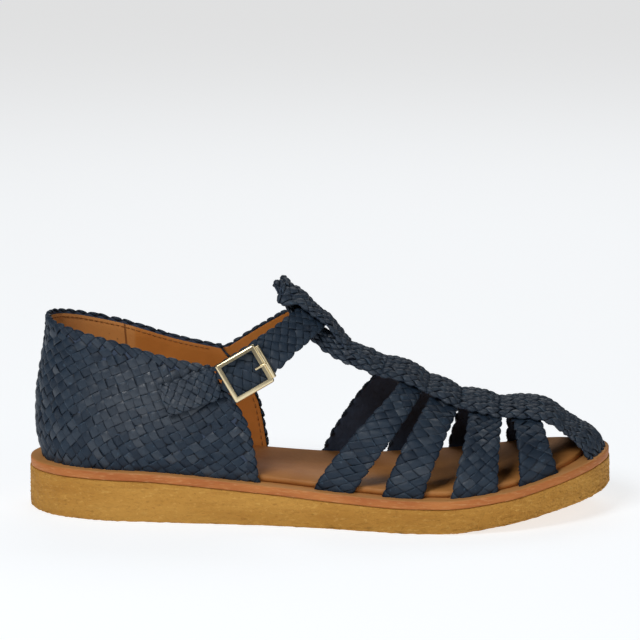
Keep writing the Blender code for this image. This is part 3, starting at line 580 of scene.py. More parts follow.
def midsoleEdge():
    look = Finish("midsoleEdge")
    broad = look.noise(50.0, 4.0, stretch=(0.6, 0.6, 2.0))
    fibre = look.noise(700.0, 5.0, stretch=(0.35, 0.35, 2.4))
    facing = look.node("ShaderNodeNewGeometry", {}, {}, "Normal")
    top = look.node("ShaderNodeSeparateXYZ", {}, {0: facing}, "Z").between(0.35, 0.95)
    colour = look.mix(broad.between(0.3, 0.7), (0.420, 0.120, 0.026, 1), (0.560, 0.200, 0.050, 1))
    colour = look.mix(fibre.between(0.52, 0.72) * 0.55, colour, (0.700, 0.370, 0.150, 1))
    colour = look.mix(top * 0.8, colour, (0.560, 0.270, 0.085, 1))
    look.put(Specular_IOR_Level=0.35)
    return look.put(Base_Color=colour, Roughness=0.60, Normal=look.bump(fibre, 0.0002, 0.6))


def tanLeather(name, low, high, rough=0.55):
    look = Finish(name)
    broad = look.noise(24.0, 4.0)
    fine = look.noise(700.0, 5.0)
    colour = look.mix(broad.between(0.3, 0.7), low, high)
    colour = look.mix(fine.between(0.50, 0.72) * 0.25, colour, low)
    look.put(Specular_IOR_Level=0.3)
    rough = rough + (fine - 0.5) * 0.2
    return look.put(Base_Color=colour, Roughness=rough, Normal=look.bump(fine, 0.00008, 0.5))


def liningLeather():
    look = Finish("liningLeather")
    fine = look.noise(700.0, 5.0)
    broad = look.noise(24.0, 4.0).between(0.3, 0.7)
    colour = look.mix(broad, (0.450, 0.150, 0.024, 1), (0.600, 0.225, 0.044, 1))
    seam = abs(look.axis("X") + 0.0875 + look.axis("Z") * 0.06)
    inner = look.axis("Y").between(0.0, 0.002)
    beyond = look.axis("X").between(-0.0865, -0.0885)
    colour = look.mix(beyond * inner * 0.35, colour, (0.700, 0.360, 0.130, 1))
    colour = look.mix(seam.between(0.0006, 0.0003) * inner * 0.8, colour, (0.160, 0.050, 0.012, 1))
    look.put(Specular_IOR_Level=0.3)
    rough = 0.55 + (fine - 0.5) * 0.2
    return look.put(Base_Color=colour, Roughness=rough, Normal=look.bump(fine, 0.00008, 0.5))


def goldMetal():
    look = Finish("gold")
    fine = look.noise(900.0, 3.0)
    colour = look.mix(fine, (0.800, 0.660, 0.400, 1), (0.880, 0.750, 0.490, 1))
    return look.put(Base_Color=colour, Metallic=1.0, Roughness=0.30)


navyFinish = navyLeather()
plainFinish = navyPlain()


def wearStrips(made, *stands):
    wear(made, navyFinish, "navy_woven_leather", *stands)


def addBase(name, sheet, low=0.0002, high=0.0012):
    wear(backing(name, sheet, low, high), plainFinish, "navy_woven_leather")


print("materials made")


# Loose crumbs of the crepe: smoothed chance moves, stronger near the ground.
def crumbs(levelsCount, around):
    moves = rng.normal(0.0, 1.0, (levelsCount, around, 3))
    moves = (moves + np.roll(moves, 1, axis=1) + np.roll(moves, -1, axis=1)) / 1.7
    fade = np.linspace(1.0, 0.25, levelsCount)[:, None, None]
    return moves * fade * np.array([1.0, 1.0, 0.35])


# Sole: rings of the plan outline stacked from below.
def soleStack(name, levels, stations, ragged=0.0):
    share = (1 - np.cos(np.linspace(0.0, math.pi, stations + 1))) / 2
    rings = []
    for inset, endInset, height in levels:
        outer, inner = planSides(inset, endInset)
        x = outer[0, 0] + (outer[-1, 0] - outer[0, 0]) * share
        yOuter = np.interp(x, outer[:, 0], outer[:, 1])
        yInner = np.interp(x, inner[:, 0], inner[:, 1])
        z = height(x)
        outer, inner = np.stack([x, yOuter, z], axis=1), np.stack([x, yInner, z], axis=1)
        rings.append(np.concatenate([outer, inner[-2:0:-1]]))
    points = np.stack(rings)
    levelsCount, around = points.shape[:2]
    if ragged:
        points[1:-2] += crumbs(levelsCount - 3, around) * ragged
    faces = gridFaces(levelsCount - 1, around, wrap=True).tolist()
    for level in (0, levelsCount - 1):
        first = level * around
        for i in range(stations):
            a, b = first + i, first + i + 1
            c, d = first + (around - i - 1) % around, first + (around - i) % around
            if i == 0:
                faces.append((first, b, first + around - 1))
            elif i == stations - 1:
                faces.append((a, b, first + stations + 1))
            else:
                faces.append((a, b, c, d))
    made = addMesh(name, points.reshape(-1, 3), faces)
    turnOutwards(made)
    return made


sole = {"crepeRound": 0.0014, "ragged": 0.00022, "midsoleInset": 0.0003, "midsoleRound": 0.0008,
        "insoleThick": 0.0030, "insoleRound": 0.0006, "insoleEnd": 0.0032}


def crepeLevels():
    edge = sole["crepeRound"]
    levels = [(edge * 1.3, edge * 1.3, soleFloor)]
    for angle in np.radians([0, 20, 40, 60, 80]):
        inset = edge * (1 - math.sin(angle))
        rise = edge * (1 - math.cos(angle))
        levels.append((inset, inset, lambda x, rise=rise: soleFloor(x) + rise))
    for share in np.linspace(0.12, 0.96, 22):
        levels.append((0.0, 0.0, lambda x, share=share: soleFloor(x) + crepeHeight(x) * share))
    levels.append((0.0002, 0.0002, crepeTop))
    levels.append((0.0012, 0.0012, crepeTop))
    return levels


outsole = soleStack("outsoleLook", crepeLevels(), 360, sole["ragged"])
wear(outsole, crepe(), "honey_crepe", "outsole")

edge, inset = sole["midsoleRound"], sole["midsoleInset"]
midsole = soleStack("midsoleLook", [
    (0.0012, 0.0012, lambda x: crepeTop(x) + 0.0001),
    (0.0004, 0.0004, lambda x: crepeTop(x) + 0.0003),
    (inset, inset, lambda x: crepeTop(x) + 0.0012),
    (inset, inset, lambda x: soleTop(x) - edge),
    (inset + edge * 0.3, inset + edge * 0.3, lambda x: soleTop(x) - edge * 0.3),
    (inset + edge, inset + edge, soleTop),
], 200)
wear(midsole, midsoleEdge(), "terracotta_leather", "midsole")

insoleInset = lastInset + form["fit"] + form["play"]
insoleEnd = lastEndInset + form["fit"] + sole["insoleEnd"]
insole = soleStack("insoleLook", [
    (insoleInset, insoleEnd, lambda x: soleTop(x) + 0.0002),
    (insoleInset, insoleEnd, lambda x: soleTop(x) + sole["insoleThick"] - sole["insoleRound"]),
    (insoleInset + sole["insoleRound"], insoleEnd + sole["insoleRound"],
     lambda x: soleTop(x) + sole["insoleThick"]),
], 200)
footbed = tanLeather("footbed", (0.380, 0.150, 0.038, 1), (0.520, 0.225, 0.062, 1), 0.5)
wear(insole, footbed, "tan_leather", "insole")
print("sole made")

# Side straps: name, outer foot, crown, inner foot, outer bow, inner bow, width, flare at the feet.
bandRows = [
    ("instep", 0.539, 0.673, 0.532, 2.10, 1.50, 0.0096, 0.66),
    ("waist", 0.662, 0.735, 0.655, 1.60, 1.30, 0.0126, 0.38),
    ("ball", 0.788, 0.806, 0.772, 1.90, 1.00, 0.0148, 0.38),
    ("toe", 0.900, 0.858, 0.876, 0.48, 0.80, 0.0124, 0.38),
]
strap = {"strip": 0.0038}


def evenCount(length, cell):
    return max(2, 2 * round(length / cell / 2))


# A bias weave along the whole of a strap.
def strapWeave(name, sheet, strip, width, past=0):
    cell = strip / math.sqrt(2)
    rows = evenCount(sheet.length, cell)
    columns = evenCount(width, cell)
    p, q = crossings(rows + past, columns, -past)
    return layStrips(name, sheet, p, q, lambda a, b: (a / rows, b / columns))


# Two rows of strips that fold over one free edge of a sheet.
def edgeWeave(name, sheet, edge, strip, look):
    rims = {"lowU": sheet.points[0], "highU": sheet.points[-1],
            "lowV": sheet.points[:, 0], "highV": sheet.points[:, -1]}
    cell = strip / math.sqrt(2)
    count = evenCount(lengthOf(rims[edge]), cell)
    p, q = crossings(count, 1)

    def toShares(a, b):
        along = a / count
        depth = b * cell / (sheet.length if edge.endswith("U") else sheet.width(np.clip(along, 0, 1)))
        depth = depth if edge.startswith("low") else 1 - depth
        return (depth, along) if edge.endswith("U") else (along, depth)

    return layStrips(name, sheet, p, q, toShares, look)


def bandSheet(outerFoot, crown, innerFoot, outerBow, innerBow, width, flare):
    turn = np.linspace(-1.0, 1.0, 241)
    ease = np.abs(turn) ** np.where(turn < 0, outerBow, innerBow)
    foot = np.where(turn < 0, lastX(outerFoot), lastX(innerFoot))
    x = lastX(crown) + (foot - lastX(crown)) * ease
    middle = lastPoint(x, turn)
    run = resample(np.column_stack([middle, turn]), 160)
    lean = unit(np.gradient(run[:, :3], axis=0))[:, 0]
    half = width / 2 / np.sqrt(1 - lean**2) * (1 + flare * np.abs(run[:, 3]) ** 3)
    across = np.linspace(-1.0, 1.0, 25)
    gridX = run[:, None, 0] + half[:, None] * across[None, :]
    points = lastPoint(gridX, run[:, None, 3])
    core = np.stack([points[..., 0], ridgeSide(points[..., 0]), soleTop(points[..., 0])], axis=-1)
    return Sheet(points, core, feet=(True, True))


for name, *sizes in bandRows:
    sheet = bandSheet(*sizes)
    strips = strapWeave("straps_" + name, sheet, strap["strip"], sizes[-2], past=1)
    wearStrips(strips)
    addBase("strapBase_" + name, sheet)
print("side straps made")

# Centre strip: share from the tip, outer and inner half width, curl, lift, hold on the last.
plaitRows = [
    (0.00, 1.20, 1.75, 1.60, 3.0, 1.0), (0.09, 1.15, 1.30, 1.60, 0.6, 1.0), (0.20, 1.16, 0.96, 1.70, 1.0, 1.0),
    (0.32, 1.18, 0.92, 1.70, 1.0, 1.0), (0.50, 1.06, 0.84, 1.30, 1.3, 1.0), (0.66, 0.90, 0.72, 0.82, 1.3, 0.5),
    (0.80, 0.68, 0.60, 0.68, 0.0, 0.0), (0.92, 0.48, 0.46, 0.66, 0.0, 0.0), (1.00, 0.26, 0.26, 0.66, 0.0, 0.0),
]
# Loop: share, rise, half width, curl.
loopRows = [
    (0.00, 0.60, 0.26, 1.00), (0.10, 0.62, 0.62, 0.60), (0.20, 0.84, 0.82, 0.62), (0.32, 1.00, 0.62, 1.10),
    (0.66, 1.00, 0.50, 1.40), (0.84, 0.62, 0.50, 1.30), (1.00, 0.20, 0.50, 1.20),
]
plait = {"width": 0.0165, "lift": 0.0013, "toeCap": 0.12, "tip": -0.0195,
         "loopRise": 0.0064, "loopEnd": 0.0132}


def ribbonPoint(centre, normal, aside, curl):
    angle = aside / curl
    return centre + np.array([0.0, math.sin(angle) * curl, 0.0]) - normal * curl * (1 - math.cos(angle))


# Humps of the thick plait, between the places along x where its strands cross.
humps = {"crossings": (0.0309, 0.0494, 0.0646, 0.0826, 0.1110), "rise": 0.0024, "sharp": 0.60}


def humpRise(x):
    known = np.array(humps["crossings"])
    cell = np.clip(np.searchsorted(known, x) - 1, 0, len(known) - 2)
    part = (x - known[cell]) / (known[cell + 1] - known[cell])
    inside = (x > known[0]) & (x < known[-1])
    return np.where(inside, np.abs(np.sin(math.pi * np.clip(part, 0, 1))) ** humps["sharp"], 0.0)


def plaitSheet():
    rows, columns = 280, 36
    run = resample(ridgeRun(lastToe, plait["tip"])[::-1], rows)[::-1]
    normal = ridgeNormal(run[::-1])[::-1]
    points = np.zeros((rows + 1, columns + 1, 3))
    part = 2 * np.arange(columns + 1) / columns - 1
    for i in range(rows + 1):
        share = i / rows
        outer, inner, curl, _, snap = [float(curve(plaitRows, k, share)) for k in range(1, 6)]
        for j in range(columns + 1):
            aside = part[j] * (outer if part[j] < 0 else inner) * plait["width"]
            place = ribbonPoint(run[i], normal[i], aside, curl * plait["width"])
            points[i, j] = place + (onLast(place) - place) * snap
    toeRows = round(rows * plait["toeCap"])
    for j in range(columns + 1):
        start = points[0, j]
        nearest = lastRing[int(np.argmin(((lastRing - start[:2]) ** 2).sum(axis=1)))]
        points[0, j] = (nearest[0], nearest[1], float(soleTop(nearest[0])) + form["fit"])
        for i in range(1, toeRows):
            points[i, j] = onLast(points[0, j] + (points[toeRows, j] - points[0, j]) * i / toeRows)
    x = points[..., 0]
    core = np.stack([x - 0.02, ridgeSide(x), 0 * x + float(soleTop(0.0))], axis=-1)
    lift = curve(plaitRows, 4, np.linspace(0.0, 1.0, rows + 1)) * plait["lift"]
    rise = humpRise(points[:, columns // 2, 0]) * humps["rise"]
    lobes = 0.30 + 0.70 * np.abs(np.cos(1.5 * math.pi * part)) ** 0.6
    lifted = Sheet(points, core)
    points = points + lifted.normal * (lift[:, None] + rise[:, None] * lobes[None, :])[..., None]
    return Sheet(points, core, feet=(True, False), rolls=(False, True, True, True))


def loopSheet():
    rows, columns = 60, 12
    run = resample(ridgeRun(plait["loopEnd"], plait["tip"]), rows)[::-1]
    normal = ridgeNormal(run)
    points = np.zeros((rows + 1, columns + 1, 3))
    for i in range(rows + 1):
        rise = float(curve(loopRows, 1, i / rows)) * plait["loopRise"]
        half, curl = [float(curve(loopRows, k, i / rows)) * plait["width"] for k in (2, 3)]
        for j in range(columns + 1):
            aside = (2 * j / columns - 1) * half
            points[i, j] = ribbonPoint(run[i] + normal[i] * rise, normal[i], aside, curl)
    return Sheet(points, points - np.array([0.05, 0.0, 0.05]), rolls=(True, True, True, True))


# Long slanting strands, as in a thick plait, between two shares of a sheet's length.
def strandWeave(name, sheet, along, columns, span, look):
    rows = evenCount(sheet.length * (span[1] - span[0]), along)
    p, q = crossings(rows, columns)
    low, high = span
    return layStrips(name, sheet, p, q, lambda a, b: (low + (high - low) * a / rows, b / columns), look)


vampSheet = plaitSheet()
strandLook = {"halfWidth": 0.40, "crown": 0.75, "swell": 0.00075, "turn": 0.06, "shift": 0.06, "tilt": 0.30,
              "wornSheen": 0.45, "mid": 0.0019}
centre = strandWeave("centrePlait", vampSheet, 0.0031, 16, (0.125, 1.0), strandLook)
wearStrips(centre, "upper_vamp")
toeLook = {**strandLook, "mid": 0.0017, "crown": 0.5}
toeCap = strandWeave("toeBand", vampSheet, 0.0027, 20, (-0.04, 0.135), toeLook)
wearStrips(toeCap)
addBase("centreBase", vampSheet, high=0.0011)
tip = loopSheet()
loopStrips = strandWeave("loopPlait", tip, 0.0028, 8, (0.0, 1.0), {**strandLook, "crown": 0.5})
wearStrips(loopStrips)
addBase("loopBase", tip)
print("centre plait made")

# Quarter: a sheet round the heel, from the outer front edge to the inner one.
quarter = {"back": 0.0665, "bulge": 0.0032, "front": -0.0245, "setback": 0.0230, "strip": 0.0042,
           "swirl": math.radians(24.0), "swirlX": -0.080, "swirlHeight": 0.034, "swirlReach": 0.048,
           "edgeStrip": 0.0038, "keep": 0.0042, "fade": 0.008, "lining": 0.0022}
# The rubbed patch on the outer side, which also carries a painted sheen.
wornSheenPatch = {"x": -0.0760, "z": 0.0580, "reach": 0.027, "reachUp": 0.0180, "least": 0.05}
topRows = [
    (0.00, 1.000, 1.000), (0.15, 0.985, 0.980), (0.45, 0.915, 0.895), (0.80, 0.800, 0.775),
    (1.00, 0.765, 0.740),
]
riseRows = [
    (0.00, 0.00, 0.00), (0.12, 0.72, 0.04), (0.26, 1.00, 0.09), (0.46, 0.75, 0.18), (0.70, -0.05, 0.46),
    (0.88, -0.70, 0.80), (1.00, -1.00, 1.00),
]


def heelRun():
    toe = int(np.argmax(lastRing[:, 0]))
    order = list(range(toe, len(lastRing))) + list(range(0, toe))
    ring, normal = lastRing[order][::-1], lastRingNormal[order][::-1]
    travel = np.concatenate([[0.0], np.cumsum(np.linalg.norm(np.diff(ring, axis=0), axis=1))])
    return ring, normal, travel - travel[int(np.argmin(ring[:, 0]))]


heelLine, heelNormal, heelTravel = heelRun()


def travelAt(side, x):
    half = heelTravel < 0 if side < 0 else heelTravel > 0
    return heelTravel[int(np.argmin(np.where(half, np.abs(heelLine[:, 0] - x), 1.0)))]


def quarterPlace(travel, height):
    x = np.interp(travel, heelTravel, heelLine[:, 0])
    y = np.interp(travel, heelTravel, heelLine[:, 1])
    awayX = np.interp(travel, heelTravel, heelNormal[:, 0])
    awayY = np.interp(travel, heelTravel, heelNormal[:, 1])
    out = curve(riseRows, 1, height / quarter["back"]) * quarter["bulge"] * (0.5 + 0.5 * awayX**2)
    return np.stack([x + awayX * out, y + awayY * out, soleTop(x) + form["fit"] + height], axis=-1)


def quarterEnds(level):
    back = curve(riseRows, 2, level) * quarter["setback"]
    return back - frontReach[-1], frontReach[1] - back


def quarterTop(travel):
    limit = np.where(travel < 0, frontReach[-1], frontReach[1]) - quarter["setback"]
    share = np.minimum(np.abs(travel) / limit, 1.0)
    return np.where(travel < 0, curve(topRows, 1, share), curve(topRows, 2, share)) * quarter["back"]


# Soft creases: travel from the heel's centre, height, reach along, reach up, lean, rise.
creases = [
    (-0.082, 0.0415, 0.026, 0.0045, 0.36, 0.0009), (-0.086, 0.0330, 0.024, 0.0035, 0.36, -0.0009),
    (-0.052, 0.0120, 0.014, 0.0060, -0.90, -0.0006), (-0.030, 0.0300, 0.007, 0.0160, 0.10, 0.0005),
    (0.070, 0.0260, 0.020, 0.0060, -0.30, -0.0007), (0.034, 0.0160, 0.010, 0.0100, 0.40, 0.0005),
    (-0.112, 0.0150, 0.008, 0.0120, 0.30, -0.0005),
]


def creaseRise(travel, height):
    rise = 0.0 * travel
    for atTravel, atHeight, reach, reachUp, lean, size in creases:
        along = (travel - atTravel) * -math.copysign(1.0, atTravel)
        up = height - atHeight
        forward = up * math.sin(lean) - along * math.cos(lean)
        over = along * math.sin(lean) + up * math.cos(lean)
        rise = rise + size * np.exp(-(forward / reach) ** 2 - (over / reachUp) ** 2)
    return rise


frontReach = {side: abs(travelAt(side, quarter["front"])) for side in (-1, 1)}


def quarterSheet():
    rows, columns = 240, 48
    level = np.linspace(0.0, 1.0, columns + 1)[None, :]
    start, end = quarterEnds(level)
    travel = start + (end - start) * np.linspace(0.0, 1.0, rows + 1)[:, None]
    height = quarterTop(travel) * level
    points = quarterPlace(travel, height)
    core = points.mean(axis=(0, 1)) + 0 * points
    core[..., 2] = points[..., 2]
    flat = Sheet(points, core)
    reach = quarter["fade"]
    fade = np.clip(height / reach, 0, 1) * np.clip((quarterTop(travel) - height) / reach, 0, 1)
    points = points + flat.normal * (creaseRise(travel, height) * fade)[..., None]
    return Sheet(points, core, rolls=(True, True, False, True))


wall = quarterSheet()
swirlTravel = abs(travelAt(-1, quarter["swirlX"]))


# Turn the lattice round the worn places of both sides, and find its shares of the wall.
def swirled(a, b):
    step = quarter["strip"] / math.sqrt(2)
    travel, height = a * step, b * step
    moveTravel, moveHeight = 0 * travel, 0 * height
    for side in (-1, 1):
        along = side * travel - swirlTravel
        up = height - quarter["swirlHeight"]
        turn = quarter["swirl"] * np.exp(-(along**2 + up**2) / quarter["swirlReach"] ** 2)
        moveTravel = moveTravel + side * (along * (np.cos(turn) - 1) + up * np.sin(turn))
        moveHeight = moveHeight + up * (np.cos(turn) - 1) - along * np.sin(turn)
    return travel + moveTravel, height + moveHeight


def quarterShares(a, b):
    travel, height = swirled(a, b)
    v = height / quarterTop(travel)
    start, end = quarterEnds(np.clip(v, 0, 1))
    return (travel - start) / (end - start), v


def quarterWeave():
    reach = int(max(frontReach.values()) / quarter["strip"] * math.sqrt(2)) + 14
    p, q = crossings(reach, reach, -reach, -14)
    travel, height = swirled(p, q)
    start, end = quarterEnds(np.clip(height / quarterTop(travel), 0, 1))
    free = np.minimum(np.minimum(travel - start, end - travel), quarterTop(travel) - height)
    kept = (free > quarter["keep"]) & (height > -0.004)
    return layStrips("quarterStrips", wall, p[kept], q[kept], quarterShares, {"mid": 0.00165, "tilt": 0.55})


# Rubbed high spots: how worn each point of the outer side is. The same mask also paints a sheen there.
def setWornSheen(made):
    low, reach, reachUp = wornSheenPatch["least"], wornSheenPatch["reach"], wornSheenPatch["reachUp"]
    places = np.array([v.co for v in made.data.vertices])
    x, z = places[:, 0] - wornSheenPatch["x"], places[:, 2] - wornSheenPatch["z"]
    along, over = x * 0.98 + z * 0.18, z * 0.98 - x * 0.18
    wornSheen = np.exp(-np.abs(along / reach) ** 3 - np.abs(over / reachUp) ** 3) * (places[:, 1] < 0)
    made.data.attributes["wornSheen"].data.foreach_set("value", (low + (1 - low) * wornSheen).astype(np.float32))


strips = quarterWeave()
setWornSheen(strips)
wearStrips(strips, "upper_quarter")
for edge in ("lowU", "highU", "highV"):
    strips = edgeWeave("quarterEdge_" + edge, wall, edge, quarter["edgeStrip"], {"mid": 0.0019})
    setWornSheen(strips)
    wearStrips(strips)
addBase("quarterBase", wall, 0.0006)
liningFinish = liningLeather()
wear(backing("quarterLining", wall, 0.0, 0.0005, inset=quarter["lining"]), liningFinish, "tan_leather")
threadFinish = tanLeather("liningThread", (0.300, 0.110, 0.024, 1), (0.420, 0.170, 0.040, 1))
step = thread["step"]
end = step / wall.length
topRow = [(u, 1 - thread["drop"] / float(wall.width(u))) for u in np.arange(0.03, 0.97, end)]
upRow = np.arange(0.04, 0.94, step / 0.05)
outerRow, innerRow = [(end, v) for v in upRow], [(1 - end, v) for v in upRow]
for name, row in (("", topRow), ("_outer", outerRow), ("_inner", innerRow)):
    wear(stitches("liningStitches" + name, wall, row), threadFinish, "tan_leather")
print("quarter made")

# Ankle strap and buckle tab, laid on the quarter at both ends.
ankle = {"width": 0.0145, "flare": 0.0044, "crossing": -0.0045, "buckleBack": -0.0400,
         "buckleHeight": 0.0662, "innerDrop": 0.0025, "lining": 0.0014, "tabBack": -0.0670,
         "tabGap": 0.0022, "slope": math.radians(20.0), "innerEnd": -0.0640, "strip": 0.0036}
overlayGap = form["wall"] + form["rise"] + form["fit"] + form["play"]


def quarterFrame(side, x, z):
    travel = travelAt(side, x)
    height = z - float(soleTop(x)) - form["fit"]
    place = quarterPlace(travel, height)
    forward = quarterPlace(travel + 0.002, height) - quarterPlace(travel - 0.002, height)
    upward = quarterPlace(travel, height + 0.002) - quarterPlace(travel, height - 0.002)
    normal = unit(np.cross(forward, upward))
    return place, normal * (-1 if normal[1] * side < 0 else 1)


def strapHeight(side, x):
    drop = ankle["innerDrop"] if side > 0 else 0.0
    return ankle["buckleHeight"] - drop + (x - ankle["buckleBack"]) * math.tan(ankle["slope"])


def overlayPoints(side, back, front, rows, columns):
    points = np.zeros((rows + 1, columns + 1, 3))
    for i in range(rows + 1):
        x = back + (front - back) * i / rows
        for j in range(columns + 1):
            aside = (j / columns - 0.5) * ankle["width"]
            place, normal = quarterFrame(side, x - aside * math.sin(ankle["slope"]),
                                         strapHeight(side, x) + aside * math.cos(ankle["slope"]))
            points[i, j] = place + normal * overlayGap
    return points


def ankleArc(angle):
    back = ankle["buckleBack"]
    outerPlace, outerNormal = quarterFrame(-1, back, strapHeight(-1, back))
    innerPlace, innerNormal = quarterFrame(1, back, strapHeight(1, back))
    outerPlace = outerPlace + outerNormal * overlayGap
    innerPlace = innerPlace + innerNormal * overlayGap
    run = ridgeRun(ankle["crossing"] + 0.004, ankle["crossing"] - 0.004, 41)
    middle = int(np.argmin(np.abs(run[:, 0] - ankle["crossing"])))
    crownNormal = ridgeNormal(run)[middle]
    crown = run[middle] + crownNormal * (form["wall"] + form["rise"] + form["fit"] + 2 * form["play"])
    base = (outerPlace + innerPlace) / 2
    forward = crown - base
    aside = (innerPlace - outerPlace) / 2
    centre = base + forward * math.cos(angle) + aside * math.sin(angle)
    run = unit(aside * math.cos(angle) - forward * math.sin(angle))
    turn = math.sin(angle)
    normal = (innerNormal if turn > 0 else outerNormal) * turn**2 + crownNormal * (1 - turn**2)
    return centre, run, unit(normal - run * np.dot(normal, run))


def ankleSheet():
    rows, columns = 120, 12
    angles = np.linspace(-math.pi / 2, math.pi / 2, rows + 1)
    centres = np.array([ankleArc(a)[0] for a in angles])
    spaced = resample(np.column_stack([centres, angles]), rows)[:, 3]
    points = np.zeros((rows + 1, columns + 1, 3))
    for i in range(rows + 1):
        centre, run, normal = ankleArc(spaced[i])
        across = unit(np.cross(run, normal))
        across = across if across[2] > 0 else -across
        flare = ankle["flare"] * max(0.0, -math.sin(spaced[i])) ** 4
        for j in range(columns + 1):
            aside = (j / columns - 0.5) * ankle["width"] - flare * max(0.0, 1 - 2 * j / columns)
            points[i, j] = centre + across * aside
    tail = overlayPoints(1, ankle["buckleBack"], ankle["innerEnd"], 20, columns)
    points = np.concatenate([points, tail[1:]])
    core = np.array([ankle["buckleBack"], 0.0, 0.0]) + points * np.array([0.0, 0.0, 1.0])
    core[..., 2] -= 0.02
    return Sheet(points, core)


strapSheet = ankleSheet()
strips = strapWeave("ankleStrips", strapSheet, ankle["strip"], ankle["width"])
wearStrips(strips, "ankle_strap")
addBase("ankleBase", strapSheet, 0.0006)
lining = backing("ankleLining", strapSheet, 0.0, 0.0005, inset=ankle["lining"], stop=(0.05, 1.0))
wear(lining, liningFinish, "tan_leather")
tabPoints = overlayPoints(-1, ankle["tabBack"], ankle["buckleBack"] - ankle["tabGap"], 40, 12)
tabSheet = Sheet(tabPoints, tabPoints * np.array([1.0, 0.0, 1.0]), rolls=(True, True, True, True))
strips = strapWeave("tabStrips", tabSheet, ankle["strip"], ankle["width"])
setWornSheen(strips)
wearStrips(strips, "buckle_tab")
addBase("tabBase", tabSheet)
print("ankle strap made")

# Buckle: a bevelled frame with a roller along its front bar and a prong, made flat and then set on the strap.
buckle = {"long": 0.0202, "tall": 0.0194, "bar": 0.0022, "thick": 0.0021, "corner": 0.0014,
          "edge": 0.00060, "turn": 0.36, "start": 0.00055, "drop": 0.0024, "tilt": math.radians(-3.3),
          "roller": 0.00105, "rollerGap": 0.0007, "prong": 0.0056, "prongRadius": 0.00062, "prongDip": 0.20,
          "smooth": math.radians(50)}
goldFinish = goldMetal()


def buckleMatrix():
    first = -math.pi / 2
    back, _, normal = ankleArc(first)
    run = unit(ankleArc(first + buckle["turn"])[0] - back)
    normal = unit(normal - run * np.dot(normal, run))
    across = np.cross(normal, run)
    near = np.array([ankleArc(angle)[0] for angle in np.linspace(first, first + 2 * buckle["turn"], 15)])
    out = float(((near - back) @ normal).max()) + form["wall"] + form["rise"] + 2 * form["fit"]
    ahead = buckle["start"] + buckle["long"] / 2 - buckle["roller"]
    centre = back + run * ahead - across * buckle["drop"] + normal * out
    cos, sin = math.cos(buckle["tilt"]), math.sin(buckle["tilt"])
    axes = [run * cos + across * sin, across * cos - run * sin, normal]
    matrix = Matrix([list(axis) for axis in axes]).transposed().to_4x4()
    matrix.translation = Vector(centre)
    return matrix


# Select by a test in edit mode.
def pick(made, wanted, kind):
    bpy.ops.object.mode_set(mode="OBJECT")
    mesh = made.data
    for items in (mesh.vertices, mesh.edges, mesh.polygons):
        items.foreach_set("select", [False] * len(items))
    for item in mesh.edges if kind == "EDGE" else mesh.polygons:
        item.select = bool(wanted(item, mesh))
    bpy.ops.object.mode_set(mode="EDIT")
    bpy.ops.mesh.select_mode(type=kind)


def upright(edge, mesh):
    a, b = [mesh.vertices[k].co for k in edge.vertices]
    return abs(a.z - b.z) > buckle["thick"] * 0.5


def isCorner(edge, mesh):
    aside = abs(mesh.vertices[edge.vertices[0]].co.x)
    return upright(edge, mesh) and aside > buckle["long"] / 2 - 0.0004


def isRim(edge, mesh):
    faces = [face for face in mesh.polygons if set(edge.vertices) <= set(face.vertices)]
    return not upright(edge, mesh) and len(faces) == 2 and abs(faces[0].normal.z - faces[1].normal.z) > 0.5


def finishByHand(made, name):
    made.name = name
    bpy.ops.object.mode_set(mode="OBJECT")
    bpy.ops.object.shade_smooth_by_angle(angle=buckle["smooth"])
    return made


def frameByHand():
    bpy.ops.object.select_all(action="DESELECT")
    bpy.ops.mesh.primitive_plane_add(size=1)
    made = bpy.context.active_object
    bpy.ops.object.mode_set(mode="EDIT")
    bpy.ops.mesh.select_all(action="SELECT")
    bpy.ops.transform.resize(value=(buckle["long"], buckle["tall"], 1))
    bpy.ops.mesh.inset(thickness=buckle["bar"])
    bpy.ops.mesh.delete(type="FACE")
    bpy.ops.mesh.select_all(action="SELECT")
    bpy.ops.mesh.extrude_region_move(TRANSFORM_OT_translate={"value": (0, 0, buckle["thick"])})
    bpy.ops.mesh.select_all(action="SELECT")
    bpy.ops.mesh.normals_make_consistent(inside=False)
    pick(made, isCorner, "EDGE")
    bpy.ops.mesh.bevel(offset=buckle["corner"], segments=4, clamp_overlap=True)
    pick(made, isRim, "EDGE")
    bpy.ops.mesh.bevel(offset=buckle["edge"], segments=4, clamp_overlap=True)
    return finishByHand(made, "buckleFrame")


# A rod with bevelled ends. The place and turn are for adding it, the last settings for its shape.
def rodByHand(name, add, place, turn, isEnd, bevel, **sizes):
    bpy.ops.object.select_all(action="DESELECT")
    add(location=place, rotation=turn, **sizes)
    made = bpy.context.active_object
    bpy.ops.object.transform_apply(location=True, rotation=True, scale=True)
    bpy.ops.object.mode_set(mode="EDIT")
    pick(made, isEnd, "FACE")
    bpy.ops.mesh.bevel(**bevel)
    return finishByHand(made, name)


def rollerByHand():
    place = (buckle["long"] / 2 + buckle["rollerGap"], 0, buckle["thick"] * 0.6)
    return rodByHand("buckleRoller", bpy.ops.mesh.primitive_cylinder_add, place, (math.pi / 2, 0, 0),
                     lambda face, mesh: abs(face.normal.y) > 0.9, {"offset": 0.0003, "segments": 2},
                     vertices=24, radius=buckle["roller"], depth=buckle["tall"] * 0.84)


# The prong tapers. Its tip lies on the front bar and its root slopes down towards the strap.
def prongByHand():
    radius = buckle["prongRadius"]
    place = (buckle["long"] / 2 + 0.0005 - buckle["prong"] / 2, -0.0008, buckle["thick"] + 0.0001)
    bevel = {"offset": radius * 0.45, "segments": 3, "clamp_overlap": True}
    return rodByHand("buckleProng", bpy.ops.mesh.primitive_cone_add, place,
                     (0, math.pi / 2 - buckle["prongDip"], 0), lambda face, mesh: abs(face.normal.x) > 0.9,
                     bevel, vertices=16, radius1=radius, radius2=radius * 0.72, depth=buckle["prong"])


